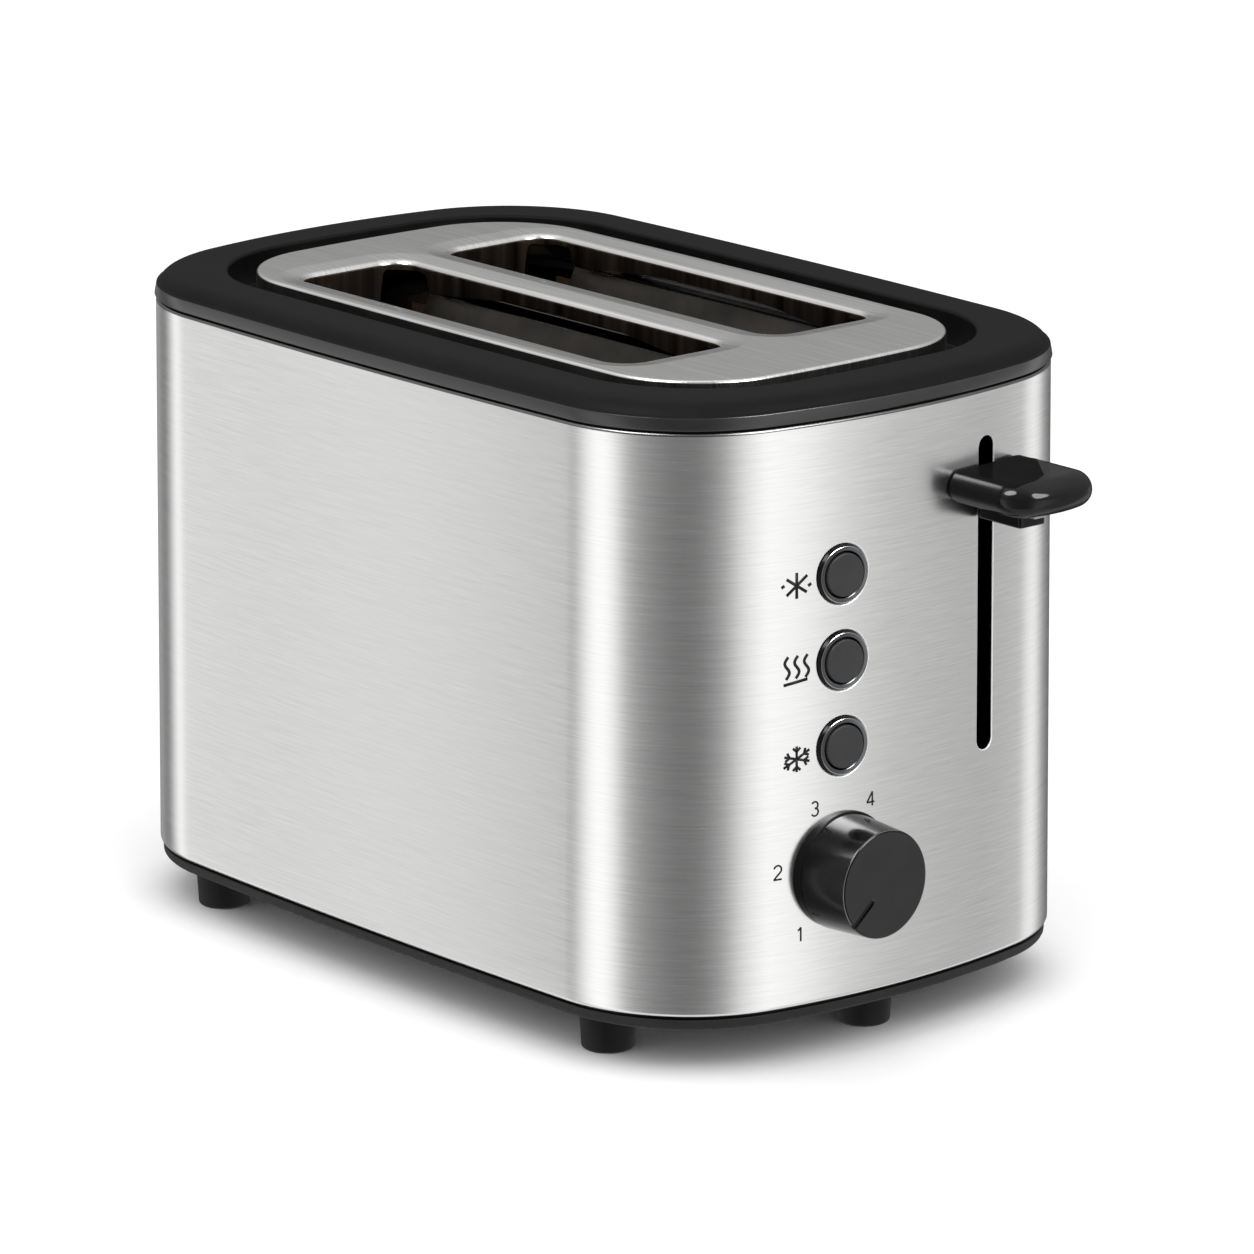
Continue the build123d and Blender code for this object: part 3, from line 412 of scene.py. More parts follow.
knobFace = grainedSurface(
    "knobFace", 1800, 80, (0.017, 0.017, 0.018), (0.021, 0.021, 0.022), (0.46, 0.54), 0.3, gloss=0.2)
# Lighter, glossier black for the rim's side band: painted light for the front light the band catches, with a glossier
# finish as well.
litBandGrey = grainedSurface(
    "litBandGrey", 1500, 60, (0.010, 0.010, 0.0105), (0.014, 0.014, 0.0145), (0.26, 0.34), 0.3, gloss=0.62)
# Darker copy of the wrap steel for its rounded top edge: painted shade that dulls the edge's bright reflection.
shadedEdgeSteel = brushedMetal(
    "shadedEdgeSteel", (120, 120, 5200), (0.11, 0.11, 0.109), (0.16, 0.16, 0.158), (0.24, 0.32), 0.15)
# Dark brown steel for the slot walls inside the plate: painted shade inside the slots, with a brown heat tint.
shadedThroatSteel = brushedMetal(
    "shadedThroatSteel", (420, 420, 14), (0.028, 0.022, 0.018), (0.12, 0.09, 0.07), (0.24, 0.40), 0.10)
heatTinted = grainedSurface(
    "heatTinted", 300, 38, (0.022, 0.016, 0.012), (0.06, 0.044, 0.034), (0.24, 0.42), 0.2, metal=1.0)
smokedBand = grainedSurface(
    "smokedBand", 300, 80, (0.075, 0.077, 0.080), (0.13, 0.132, 0.136), (0.12, 0.22), 0.03, metal=1.0)
# Pale, mostly unmetallic finish for the lips round the wrap's holes: a painted highlight along each hole's edge.
paleLipHighlight = grainedSurface(
    "paleLipHighlight", 900, 120, (0.86, 0.86, 0.855), (0.93, 0.93, 0.925), (0.34, 0.44), 0.05, metal=0.2)
# Near-black for gaps and recesses: painted shade in the rim's groove, the seam over the base band and the collar
# behind the knob.
paintedShadeBlack = grainedSurface(
    "paintedShadeBlack", 1500, 60, (0.002, 0.002, 0.0022), (0.004, 0.004, 0.0042), (0.30, 0.40), 0.3, gloss=0.12)
baseGrey = grainedSurface(
    "baseGrey", 1500, 60, (0.017, 0.017, 0.018), (0.023, 0.023, 0.024), (0.50, 0.60), 0.45, gloss=0.12)
# Pale metal for a thin line on each button ring's crest: a painted highlight.
ringEdgeHighlight = grainedSurface(
    "ringEdgeHighlight", 300, 80, (0.40, 0.40, 0.41), (0.50, 0.50, 0.51), (0.16, 0.24), 0.03, metal=1.0)
# Pale line on the knob's rounded front edge: a painted glint.
paintedGlint = grainedSurface(
    "paintedGlint", 900, 60, (0.13, 0.13, 0.132), (0.20, 0.20, 0.203), (0.20, 0.30), 0.05)
printInk = grainedSurface(
    "printInk", 2400, 200, (0.006, 0.006, 0.007), (0.010, 0.010, 0.011), (0.45, 0.60), 0.1, gloss=0.2)
print("finishes ready:", len(bpy.data.materials))

# Every carried-over node takes its slot's finish, or its own where it looks different.
ownFinish = {"base_pan": baseGrey, "reflector_left": heatTinted, "reflector_right": heatTinted,
             "front_plate": heatTinted, "rear_plate": heatTinted}
for part in frame["record"]["subparts"]:
    data = nodes[part["node"]].data
    data.materials.clear()
    data.materials.append(ownFinish.get(part["node"], finishes[part["material_slot"]]))

# Steel wrap: one closed profile of (inset, z) carried round the bowed outline, then its holes.
wrap = {"low": 15.3, "high": 178.5, "wall": 0.8, "flange": 3.2, "edge": 1.6, "topEdge": 1.0, "rows": 28,
        "leverY": 30.0, "slotWidth": 6.4, "slotLow": 76.0, "slotHigh": 165.2, "slotDish": 0.22, "slotCut": (118, 145),
        "controlY": -23.5, "buttons": {"cancel": 135.4, "reheat": 111.35, "defrost": 87.3}, "hole": 8.42,
        "ringDish": 0.5, "ringCut": (-8, 6), "knobZ": 52.0, "shaft": 4.0, "shaftCut": (110, 145), "mouth": 0.5,
        "trayCut": (-145, -110)}


def wrapLoops(v):
    low, high, wall, edge, top = (v[key] for key in ("low", "high", "wall", "edge", "topEdge"))
    heights = np.linspace(low + edge, high - top, v["rows"] + 2)[1:-1]
    profile = profileOf(
        (v["flange"], low), arcRun((edge, low + edge), edge, 270, 180, 8), columns(0.0, heights),
        arcRun((top, high - top), top, 180, 90, 8), (v["flange"], high), (v["flange"], high - wall),
        arcRun((top, high - top), top - wall, 90, 180, 5),
        arcRun((edge, low + edge), edge - wall, 180, 270, 5), (v["flange"], low + wall))
    return [planLoop(bodyPlan, inset - leanAt(z), z) for inset, z in profile]


# Upright slot with round ends.
def slotOutline(width, low, high, steps=20):
    r = width / 2
    return profileOf(arcRun((0, high - r), r, 0, 180, steps), arcRun((0, low + r), r, 180, 360, steps))


# A point on the control end and the way straight out of it.
def panelFrame(y, z):
    angle = asin(y / bodyPlan["endRadius"])
    return np.array([bodyX + endX(y, z), y, z]), np.array([cos(angle), sin(angle), 0.0])


def wrapCutters(v):
    d = v["slotDish"]
    opening = slotOutline(v["slotWidth"] + 2 * d, v["slotLow"] - d, v["slotHigh"] + d)
    cutters = [prismShape(opening, (bodyX, v["leverY"], 0), *alongX, *v["slotCut"])]
    for z in v["buttons"].values():
        cutters.append(rodShape(v["hole"] + v["ringDish"], *v["ringCut"], *panelFrame(v["controlY"], z), 96))
    shaftAt = (bodyX, v["controlY"], v["knobZ"])
    cutters.append(rodShape(v["shaft"], *v["shaftCut"], shaftAt, (1, 0, 0), 48))
    trayLow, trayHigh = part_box("crumb_tray")
    half = trayHigh.y / mm + v["mouth"]
    low, high = trayLow.z / mm - v["mouth"], trayHigh.z / mm + v["mouth"]
    box = [(-half, low), (half, low), (half, high), (-half, high)]
    cutters.append(prismShape(box, (bodyX, 0, 0), *alongX, *v["trayCut"]))
    return cutters


def wrapTopEdge(c, n):
    return (c[:, 2] > wrap["high"] - wrap["topEdge"]) & (n[:, 2] > 0.08) & (looksOut(c, n) > 5)


wrapMesh = cutAway("steelWrap", stackLoops("steelWrap", wrapLoops(wrap)), wrapCutters(wrap))
addPiece("steelWrap", wrapMesh, finishes["steel_wrap"], "housing", "steel_wrap", "outer_shell")
# The rounded top edge takes the darker steel: painted shade over its reflection.
markFaces(wrapMesh, (shadedEdgeSteel, wrapTopEdge))
print("steel wrap:", len(wrapMesh.polygons), "faces")

# Moulded rim: side band, rounded shoulder, gentle slope to the inner edge, then the groove wall and floor.
rim = {"low": 179.1, "shoulder": 182.9, "top": 186.1, "seat": 178.5, "seatIn": 5.4, "seatOut": 1.6, "setback": 0.3,
       "lowChamfer": (0.25, 0.3), "draft": 0.5, "shoulderRound": 0.7, "innerRound": 0.9, "crest": 9.0, "rows": 30,
       "firstRow": 0.06, "rowSpread": 1.8, "floor": 176.1, "floorThick": 2.0, "floorRound": 0.4, "reach": 12.0,
       "wall": 2.0}


# The slope blends the outer outline into the inner one; its height rises fast at first, as 1 - (1 - t) ** crest.
def rimLoops(v):
    inset, r, k = v["setback"] + v["draft"], v["shoulderRound"], v["innerRound"]
    aside, above = v["lowChamfer"]
    outside = profileOf(
        (v["seatIn"], v["seat"]), (v["seatOut"], v["seat"]), (v["seatOut"], v["low"]),
        (v["setback"] + aside, v["low"]), (v["setback"], v["low"] + above), (inset, v["shoulder"] - r),
        arcRun((inset + r, v["shoulder"] - r), r, 170, 100, 5))
    loops = [planLoop(bodyPlan, i, z) for i, z in outside]
    outer, inner = planLoop(bodyPlan, inset + r, v["shoulder"]), planLoop(holePlan, -k, v["top"])
    for t in np.linspace(v["firstRow"], 1, v["rows"]) ** v["rowSpread"]:
        step = outer * (1 - t) + inner * t
        step[:, 2] = v["shoulder"] + (v["top"] - v["shoulder"]) * (1 - (1 - t) ** v["crest"])
        loops.append(step)
    under = v["floor"] - v["floorThick"]
    groove = profileOf(
        arcRun((-k, v["top"] - k), k, 90, 0, 7)[1:], (0, v["floor"] + v["floorRound"]), (v["floorRound"], v["floor"]),
        (v["reach"], v["floor"]), (v["reach"], under), (-v["wall"], under), (-v["wall"], v["seat"]))
    return loops + [planLoop(holePlan, i, z) for i, z in groove]


# Side band faces: they take the lighter black, painted light on the side that faces the front.
def rimBand(c, n):
    return (c[:, 2] > rim["low"]) & (c[:, 2] < rim["shoulder"] - 0.4) & (n[:, 2] < 0.5) & (looksOut(c, n) > 20)


# Groove wall and floor faces: they take the near-black, painted shade in the groove.
def rimGroove(c, n):
    onFloor = (n[:, 2] > 0.7) & (c[:, 2] < rim["floor"] + 1.9)
    level = (c[:, 2] > rim["floor"] - 0.6) & (c[:, 2] < rim["top"] - rim["innerRound"])
    return level & (onFloor | (looksOut(c, n) < -20))


rimMesh = stackLoops("topRim", rimLoops(rim), 50)
addPiece("topRim", rimMesh, finishes["black_moulding"], "housing", "black_moulding", "top_ring")
markFaces(rimMesh, (litBandGrey, rimBand), (paintedShadeBlack, rimGroove))

# Slotted plate: the outer edge and both slot rims are rounded profiles round their outlines, and a flat
# sheet with two holes joins them; the sheet's thickness shows only at the lower edges.
plate = {"top": 186.0, "low": 176.2, "edge": 0.9, "sheet": 0.8, "hem": 3.0, "slotLength": 146.0, "slotWidth": 39.6,
         "slotY": 27.2, "slotX": -6.0, "corner": 8.0, "cornerSteps": 16, "sideSteps": 91, "rimRound": 1.8,
         "rollStart": 84, "dish": 0.55, "dishWide": 7.3, "dishRows": 10, "dishPower": 1.12, "wallLow": 180.6,
         "cornerLow": 177.4, "archTop": 182.6, "archReach": 13.0, "archRound": 1.6, "endLow": 170.0, "endHalf": 12.4,
         "wave": 42.0, "throatFrom": 1.9, "throatOut": 2.0}


# Lower edge of a slot's wall, by place round the slot: deep across the ends, cut up into an arch at each
# corner, then hanging lower beside the arch and easing up along the sides.
def wallEdge(v, flat):
    fromEnd = v["slotLength"] / 2 - np.abs(flat[:, 0])
    along = np.clip((fromEnd - v["archReach"]) / v["wave"], 0, 1)
    low = v["cornerLow"] + (v["wallLow"] - v["cornerLow"]) * along * along * (3 - 2 * along)
    leg = np.clip((v["archReach"] - fromEnd) / v["archRound"], 0, 1)
    low = low + (v["archTop"] - low) * np.sqrt(1 - (1 - leg) ** 2)
    inward = np.clip((v["endHalf"] + v["archRound"] - np.abs(flat[:, 1])) / v["archRound"], 0, 1)
    atEnd = np.where(fromEnd < 0.5, inward, 0)
    return low + (v["endLow"] - low) * (1 - np.sqrt(1 - atEnd ** 2))


# Slot outline grown by one step of the rim's section, with points spread along all four sides; with no height
# given it follows the wall's lower edge.
def slotLoop(v, side, grow, z):
    n = v["cornerSteps"]
    length, width = v["slotLength"] + 2 * grow, v["slotWidth"] + 2 * grow
    corners = roundedBox(length, width, v["corner"] + grow, n).reshape(4, n, 2)
    t = np.linspace(-1, 1, v["sideSteps"] + 2)[1:-1, None]
    runs = []
    for corner, following in zip(corners, np.roll(corners, -1, 0)):
        a, b = corner[-1], following[0]
        runs += [corner, (a + b) / 2 + (b - a) / 2 * t]
    flat = np.concatenate(runs)
    return columns(flat[:, 0] + v["slotX"], flat[:, 1] + side * v["slotY"], wallEdge(v, flat) if z is None else z)


# Section of a slot's rim as (growth, z): a dished border, the rolled edge, the wall down and up again inside.
def slotSection(v):
    top, r, s = v["top"], v["rimRound"], v["sheet"]
    reach = np.linspace(1, 0, v["dishRows"])[:-1]
    dished = columns(r + (v["dishWide"] - r) * reach, top - v["dish"] * (1 - reach) ** v["dishPower"])
    rolled = arcRun((r, top - v["dish"] - r), r, v["rollStart"], 180, 12)
    return [*dished, *rolled, (0, None), (s, None), (s, top - r - s)]


def plateParts(v):
    e, top, s = v["edge"], v["top"], v["sheet"]
    edge = profileOf((s, v["low"] + v["hem"]), (s, v["low"]), (0, v["low"]), arcRun((e, top - e), e, 180, 90, 14))
    loops = np.asarray([planLoop(platePlan, i, z) for i, z in edge])
    around = loops.shape[1]
    points = [loops.reshape(-1, 3)]
    faces = loopFaces(len(edge), around, False).tolist()
    rings = [loops[-1]]
    indices = [np.arange(around) + around * (len(edge) - 1)]
    first = len(points[0])
    for side in (-1, 1):
        rows = np.asarray([slotLoop(v, side, grow, z) for grow, z in slotSection(v)])
        faces += loopFaces(*rows.shape[:2], False, first).tolist()
        points.append(rows.reshape(-1, 3))
        rings.append(rows[0][::-1])
        indices.append((first + np.arange(rows.shape[1]))[::-1])
        first += len(points[-1])
    order, allPoints = np.concatenate(indices), np.concatenate(points)
    flat = order[np.asarray(geometry.tessellate_polygon([[Vector(p) for p in ring] for ring in rings]))]
    a, b, c = (allPoints[flat[:, k]] for k in range(3))
    down = np.cross(b - a, c - a)[:, 2] < 0
    flat[down] = flat[down][:, ::-1]
    return shifted(allPoints), faces + flat.tolist()


# Slot wall faces below the top: they take the dark throat steel, painted shade with some heat tint.
def plateThroat(c, n):
    out = plate["throatOut"]
    return ((c[:, 2] < plate["top"] - plate["throatFrom"])
            & (np.abs(c[:, 1]) < plate["slotY"] + plate["slotWidth"] / 2 + out)
            & (np.abs(c[:, 0] - bodyX - plate["slotX"]) < plate["slotLength"] / 2 + out))


plateMesh = makeMesh("slotPlate", *plateParts(plate), 40)
slotPlate = addPiece("slotPlate", plateMesh, finishes["steel_plate"], "housing", "steel_plate", "top_plate")
markFaces(plateMesh, (shadedThroatSteel, plateThroat))
slotPlate.modifiers.new("flatTop", "WEIGHTED_NORMAL").keep_sharp = True
print("top rim and plate:", len(rimMesh.polygons), len(plateMesh.polygons), "faces")

# Base band: a thin moulded hoop round the base, with a recessed seam under the steel painted near-black as shade.
band = {"seamTop": 16.2, "seamLow": 14.6, "low": 11.5, "seamInset": 1.1, "inset": 0.2, "edge": 1.4, "inner": 3.4,
        "chamfer": 0.2}


def bandLoops(v):
    lower = arcRun((v["inset"] + v["edge"], v["low"] + v["edge"]), v["edge"], 180, 270, 6)
    profile = profileOf(
        (v["inner"], v["low"]), lower[::-1], (v["inset"], v["seamLow"] - v["chamfer"]),
        (v["inset"] + v["chamfer"], v["seamLow"]), (v["seamInset"], v["seamLow"]),
        (v["seamInset"], v["seamTop"]), (v["inner"], v["seamTop"]))
    return [planLoop(bodyPlan, inset, z) for inset, z in profile]


bandMesh = stackLoops("baseBand", bandLoops(band))
addPiece("baseBand", bandMesh, baseGrey, "housing", "black_moulding")
markFaces(bandMesh, (paintedShadeBlack, lambda c, n: c[:, 2] > band["seamLow"] - 0.05))

# Feet: turned pads with a rounded lower edge and the screw recess; sizes across are radii.
foot = {"nodes": ("foot_front_left", "foot_front_right", "foot_rear_left", "foot_rear_right", "foot_control_end"),
        "top": 8.2, "bottom": 7.5, "height": 12.0, "edge": 1.2, "bore": 3.7, "boreDepth": 7.0, "boreChamfer": 0.3,
        "screw": 1.7, "topChamfer": 0.4}


def footPad(node, v):
    low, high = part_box(node)
    origin = ((low.x + high.x) / 2 / mm, (low.y + high.y) / 2 / mm, 0)
    e, c, top = v["edge"], v["boreChamfer"], v["topChamfer"]
    profile = profileOf(
        (v["screw"], v["boreDepth"]), (v["bore"], v["boreDepth"]), (v["bore"], c), (v["bore"] + c, 0),
        arcRun((v["bottom"] - e, e), e, 270, 356, 7), (v["top"] - top / 4, v["height"] - top),
        (v["top"] - top, v["height"]), (v["screw"], v["height"]), (v["screw"], v["boreDepth"]))
    mesh = makeMesh(node + "Pad", *turnedShape(profile, origin, (0, 0, 1), 64), 40)
    addPiece(node + "Pad", mesh, finishes["foot_rubber"], "housing", "foot_rubber", node)


for node in foot["nodes"]:
    footPad(node, foot)

# Push buttons: a dished cap inside a smoked ring, both turned about the skin's own normal; radii across.
button = {"radius": 6.05, "proud": 1.45, "depth": 5.5, "dish": 0.2, "flat": 0.2, "edge": 0.35, "ring": 8.35,
          "bore": 6.35, "ringProud": 0.95, "ringDepth": 5.0, "edgeIn": 0.57, "edgeHalf": 0.08, "bandIn": 0.7}


def buttonSet(use, z, v):
    origin, way = panelFrame(wrap["controlY"], z)
    r, p, e = v["radius"], v["proud"], v["edge"]
    rimAt = r - e - v["flat"]
    across = np.linspace(rimAt, 0, 8)
    dish = columns(across, p - v["dish"] * (1 - (across / rimAt) ** 2))
    cap = profileOf((0, -v["depth"]), (r, -v["depth"]), arcRun((r - e, p - e), e, 0, 90, 8), dish)
    mesh = makeMesh(use + "Cap", *turnedShape(cap, origin, way, 80), 40)
    addPiece(use + "Cap", mesh, finishes["button_grey"], "button_" + use, "button_grey", "button_" + use)
    outer, inner, h, deep = v["ring"], v["bore"], v["ringProud"], -v["ringDepth"]
    ring = profileOf(
        (inner, deep), (outer, deep), (outer, 0.05), (outer - 0.08, 0.2), (outer - 0.5, h - 0.08), (outer - 0.64, h),
        (outer - 0.9, h - 0.07), (inner + 0.35, h - 0.12), (inner + 0.12, h - 0.3), (inner, h - 0.6), (inner, deep))
    mesh = makeMesh(use + "Ring", *turnedShape(ring, origin, way, 96), 28)
    addPiece(use + "Ring", mesh, finishes["smoked_ring"], "housing", "smoked_ring", "light_ring_" + use)

    def ringBand(c, n):
        return (n @ way > 0.6) & (np.linalg.norm(c - origin, axis=1) < outer - v["bandIn"])

    def ringCrest(c, n):
        fromAxis = np.linalg.norm(np.cross(c - origin, way), axis=1)
        return np.abs(fromAxis - outer + v["edgeIn"]) < v["edgeHalf"]

    # The crest line takes the pale metal, a painted highlight; the face takes the smoked band.
    markFaces(mesh, (smokedBand, ringBand), (ringEdgeHighlight, ringCrest))


for use, z in wrap["buttons"].items():
    buttonSet(use, z, button)
print("base, feet and buttons ready")

# Browning knob: turned about X, gloss side, flat matt front, pointer groove.
knob = {"rear": 133.1, "front": 149.2, "rearRadius": 16.2, "frontRadius": 15.2, "edge": 0.8, "chamfer": 0.3,
        "grooveWidth": 1.7, "grooveDepth": 0.9, "grooveIn": 5.6, "grooveOut": 3.0, "grooveOver": 2.0, "angle": 221.0,
        "glint": (0.5, 0.66), "glintWay": 1.6, "glintFrom": 0.35}


def knobShape(v):
    origin = (bodyX, wrap["controlY"], wrap["knobZ"])
    rear, front, e, c = v["rear"], v["front"], v["edge"], v["chamfer"]
    side = profileOf(
        (0, rear), (v["rearRadius"] - c, rear), (v["rearRadius"], rear + c),
        arcRun((v["frontRadius"] - e, front - e), e, 2, 88, 8), (v["frontRadius"] - e - c, front), (0, front))
    turn = radians(v["angle"])
    u, w = np.array([0, cos(turn), sin(turn)]), np.array([0, -sin(turn), cos(turn)])
    length = v["frontRadius"] + v["grooveOut"] - v["grooveIn"]
    bar = roundedBox(length, v["grooveWidth"], v["grooveWidth"] / 2 - 0.01, 8) + [v["grooveIn"] + length / 2, 0]
    groove = prismShape(bar, origin, u, w, (1, 0, 0), front - v["grooveDepth"], front + v["grooveOver"])
    body = makeMesh("browningKnob", *turnedShape(side, origin, (1, 0, 0), 128))
    return cutAway("browningKnob", body, [groove], 40)


def knobFront(c, n):
    return (n[:, 0] > 0.98) & (c[:, 0] > bodyX + knob["front"] - 0.05)


# Painted glint: a pale line painted on part of the front edge, between two slopes of the rounding.
def knobGlint(c, n):
    low, high = knob["glint"]
    return (n[:, 0] > low) & (n[:, 0] < high) & (n[:, 2] - knob["glintWay"] * n[:, 1] > knob["glintFrom"])


knobMesh = knobShape(knob)
browningKnob = addPiece("browningKnob", knobMesh, finishes["gloss_black"], "knob", "gloss_black", "control_knob")
markFaces(knobMesh, (knobFace, knobFront), (paintedGlint, knobGlint))
browningKnob.visible_glossy = False  # the steel mirrors only the collar

# Collar behind the knob: a short tube that follows the bowed steel on one side and stops flat behind the knob. It is
# near-black: painted shade, a dark piece filling the shaded gap behind the knob.
collar = {"proud": 0.2, "inner": 13.0, "reach": 132.85, "chamfer": 0.3, "shift": 0.3, "sunk": 0.1, "steps": 96}


def knobCollar(v):
    t = np.linspace(0, 2 * pi, v["steps"], endpoint=False)
    outer, inner, reach = knob["rearRadius"] + v["proud"], v["inner"], v["reach"]
    c = v["chamfer"]
    section = [(outer, None), (outer, reach - c), (outer - c, reach), (inner, reach), (inner, None)]
    loops = []
    for r, x in section:
        y, z = wrap["controlY"] + v["shift"] + r * np.cos(t), wrap["knobZ"] + v["shift"] + r * np.sin(t)
        loops.append(columns(endX(y, z) - v["sunk"] if x is None else x, y, z))
    return stackLoops("knobCollar", loops, 40)


addPiece("knobCollar", knobCollar(collar), paintedShadeBlack, "housing", "gloss_black")

# Lever handle: loops round a bowed paddle outline whose edge is a tall half ellipse; the top inside them sinks
# into a shallow thumb scoop.
handle = {"y": 30.0, "halfWidth": 16.2, "front": 162.2, "rear": 112.0, "bow": 4.2, "low": 148.1, "middle": 153.4,
          "top": 158.5, "corner": 7.0, "over": 7.0, "under": 7.4, "gap": 0.6, "noseRows": 37, "underRows": (8.0, 4.0),
          "topRows": 18, "topIn": (0.5, 8.7), "sideSteps": 40, "frontSteps": 24, "backSteps": 20}
scoop = {"depth": 0.8, "ease": 3.0, "below": 1.2, "front": 156.45, "bend": 0.045, "bendY": 21.3,
         "way": (0.606, 0.795), "reach": 116.7}
handleGloss = {"size": 900, "patch": 60, "dark": (0.005, 0.005, 0.0055), "light": (0.008, 0.008, 0.0085),
               "rough": 0.4, "coatRough": 0.09, "coat": (0.42, 0.05), "fade": 0.35, "above": 156.9, "bump": 0.05}


# Depth inside the scoop: a bowed front edge and a slanting edge towards the far side, the nearer one counts.
def scoopDepth(v, x, y):
    fromFront = v["front"] - v["bend"] * (y - v["bendY"]) ** 2 - x
    return np.minimum(fromFront, v["reach"] - v["way"][0] * x - v["way"][1] * y)


# Straight sides and rounded front corners; the front is then bowed by the square of the place across.
def paddleOutline(v, inset, steps=16):
    h, c, rear, front = v["halfWidth"] - inset, max(v["corner"] - inset, 0.5), v["rear"], v["front"] - inset
    side = np.linspace(rear, front - c, v["sideSteps"] + 1)[:-1]
    across = np.linspace(-h + c, h - c, v["frontSteps"] + 2)[1:-1]
    back = np.linspace(h, -h, v["backSteps"] + 2)[1:-1]
    flat = np.concatenate([
        columns(side, -h), arcRun((front - c, -h + c), c, -90, 0, steps), columns(front, across),
        arcRun((front - c, h - c), c, 0, 90, steps), columns(side[::-1], h), columns(rear, back)])
    flat[:, 0] -= v["bow"] * (flat[:, 1] / v["halfWidth"]) ** 2 * (flat[:, 0] > rear + 1)
    return flat


def paddleLoops(v, s):
    nose = []
    for turn in np.radians(np.linspace(-90, 90, v["noseRows"])):
        wide, tall = (v["over"], v["top"] - v["middle"]) if turn > 0 else (v["under"], v["middle"] - v["low"])
        nose.append((wide * (1 - cos(turn)), v["middle"] + tall * sin(turn)))
    inner = [(v["over"] + f, v["top"]) for f in np.linspace(*v["topIn"], v["topRows"])]
    loops = []
    for inset, z in [(v["under"] + f, v["low"]) for f in v["underRows"]] + nose + inner:
        flat = paddleOutline(v, inset)
        y = flat[:, 1] + v["y"]
        sink = np.clip(scoopDepth(s, flat[:, 0], y) / s["ease"], 0, 1)
        sink = s["depth"] * sink * sink * (3 - 2 * sink) * np.clip((z - v["top"] + s["below"]) / s["below"], 0, 1)
        loops.append(columns(flat[:, 0], y, z - sink))
    return np.asarray(loops)


# Gloss black with a dull thumb scoop: the coat fades out inside the scoop's edge and above the rounded side.
def handleFinish(v, s):
    material, tree, shader = newMaterial("handleBlack", Specular_IOR_Level=0.0, Coat_Roughness=v["coatRough"],
                                         Roughness=v["rough"])
    sizes = {"Size": v["size"], "Patch": v["patch"]}
    grain = addNode(tree, "ShaderNodeGroup", (), sizes, node_tree=surfaceGrain)
    tone = mixTone(tree, grain.outputs["Tone"], v["dark"], v["light"])
    tree.links.new(tone, shader.inputs["Base Color"])
    coords = addNode(tree, "ShaderNodeTexCoord")
    place = addNode(tree, "ShaderNodeVectorMath", [(coords.outputs["Object"], 0)],
                    {1: (1 / mm, 1 / mm, 1 / mm), 2: (-bodyX, 0, 0)}, operation="MULTIPLY_ADD")
    x, y, z = addNode(tree, "ShaderNodeSeparateXYZ", [(place.outputs[0], 0)]).outputs

    def maths(kind, *values):
        node = addNode(tree, "ShaderNodeMath", operation=kind)
        for k, value in enumerate(values):
            if hasattr(value, "is_linked"):
                tree.links.new(value, node.inputs[k])
            else:
                node.inputs[k].default_value = value
        return node.outputs[0]

    across = maths("SUBTRACT", y, s["bendY"])
    bowed = maths("MULTIPLY_ADD", maths("MULTIPLY", across, across), -s["bend"], s["front"])
    front = maths("SUBTRACT", bowed, x)
    slant = maths("MULTIPLY_ADD", x, -s["way"][0], s["reach"])
    slant = maths("MULTIPLY_ADD", y, -s["way"][1], slant)
    inside = maths("MINIMUM", maths("MINIMUM", front, slant), maths("SUBTRACT", z, v["above"]))
    tree.links.new(toRange(tree, inside, *v["coat"], 0.0, v["fade"]), shader.inputs["Coat Weight"])
    addBump(tree, shader, grain.outputs["Height"], v["bump"], bumpDepth["brush"])
    return material


handleLoops = paddleLoops(handle, scoop)
handleFaces = cappedFaces(*handleLoops.shape[:2])
skin = planLoop(bodyPlan, -handle["gap"], 0.0)[:, :2]
skinCutter = prismShape(skin, (bodyX, 0, 0), *alongZ, 120, 170)
handleMesh = makeMesh("leverHandle", shifted(handleLoops.reshape(-1, 3)), handleFaces)
handleMesh = cutAway("leverHandle", handleMesh, [skinCutter], 30)
leverHandle = addPiece("leverHandle", handleMesh, handleFinish(handleGloss, scoop), "lever", "gloss_black",
                       "lever_handle")
leverHandle.visible_glossy = False  # the steel mirrors only the handle's core and boss

# Core inside the handle and boss under it: straight prisms that stop short of the steel.
core = {"width": 30.0, "height": 8.6, "corner": 4.0, "z": 153.3, "reach": (112, 139)}
boss = {"y": 30.9, "width": 9.8, "front": 148.0, "length": 40.0, "corner": 1.2, "low": 142.8, "into": 1.5,
        "softEdge": 0.5}
coreBox = roundedBox(core["width"], core["height"], core["corner"], 8)
coreShape = prismShape(coreBox, (bodyX, handle["y"], core["z"]), *alongX, *core["reach"])
coreMesh = cutAway("handleCore", makeMesh("handleCore", *coreShape), [skinCutter], 40)
addPiece("handleCore", coreMesh, finishes["gloss_black"], "lever", "gloss_black")
bossBox = roundedBox(boss["length"], boss["width"], boss["corner"], 6) + [boss["front"] - boss["length"] / 2, 0]
bossShape = prismShape(bossBox, (bodyX, boss["y"], 0), *alongZ, boss["low"], handle["low"] + boss["into"])
bossMesh = cutAway("leverBoss", makeMesh("leverBoss", *bossShape), [skinCutter], 32)
leverBoss = addPiece("leverBoss", bossMesh, finishes["gloss_black"], "lever", "gloss_black")
bossEdge = leverBoss.modifiers.new("softEdge", "BEVEL")
bossEdge.width, bossEdge.segments, bossEdge.limit_method = boss["softEdge"] * mm, 3, "ANGLE"
print("knob and handle ready")

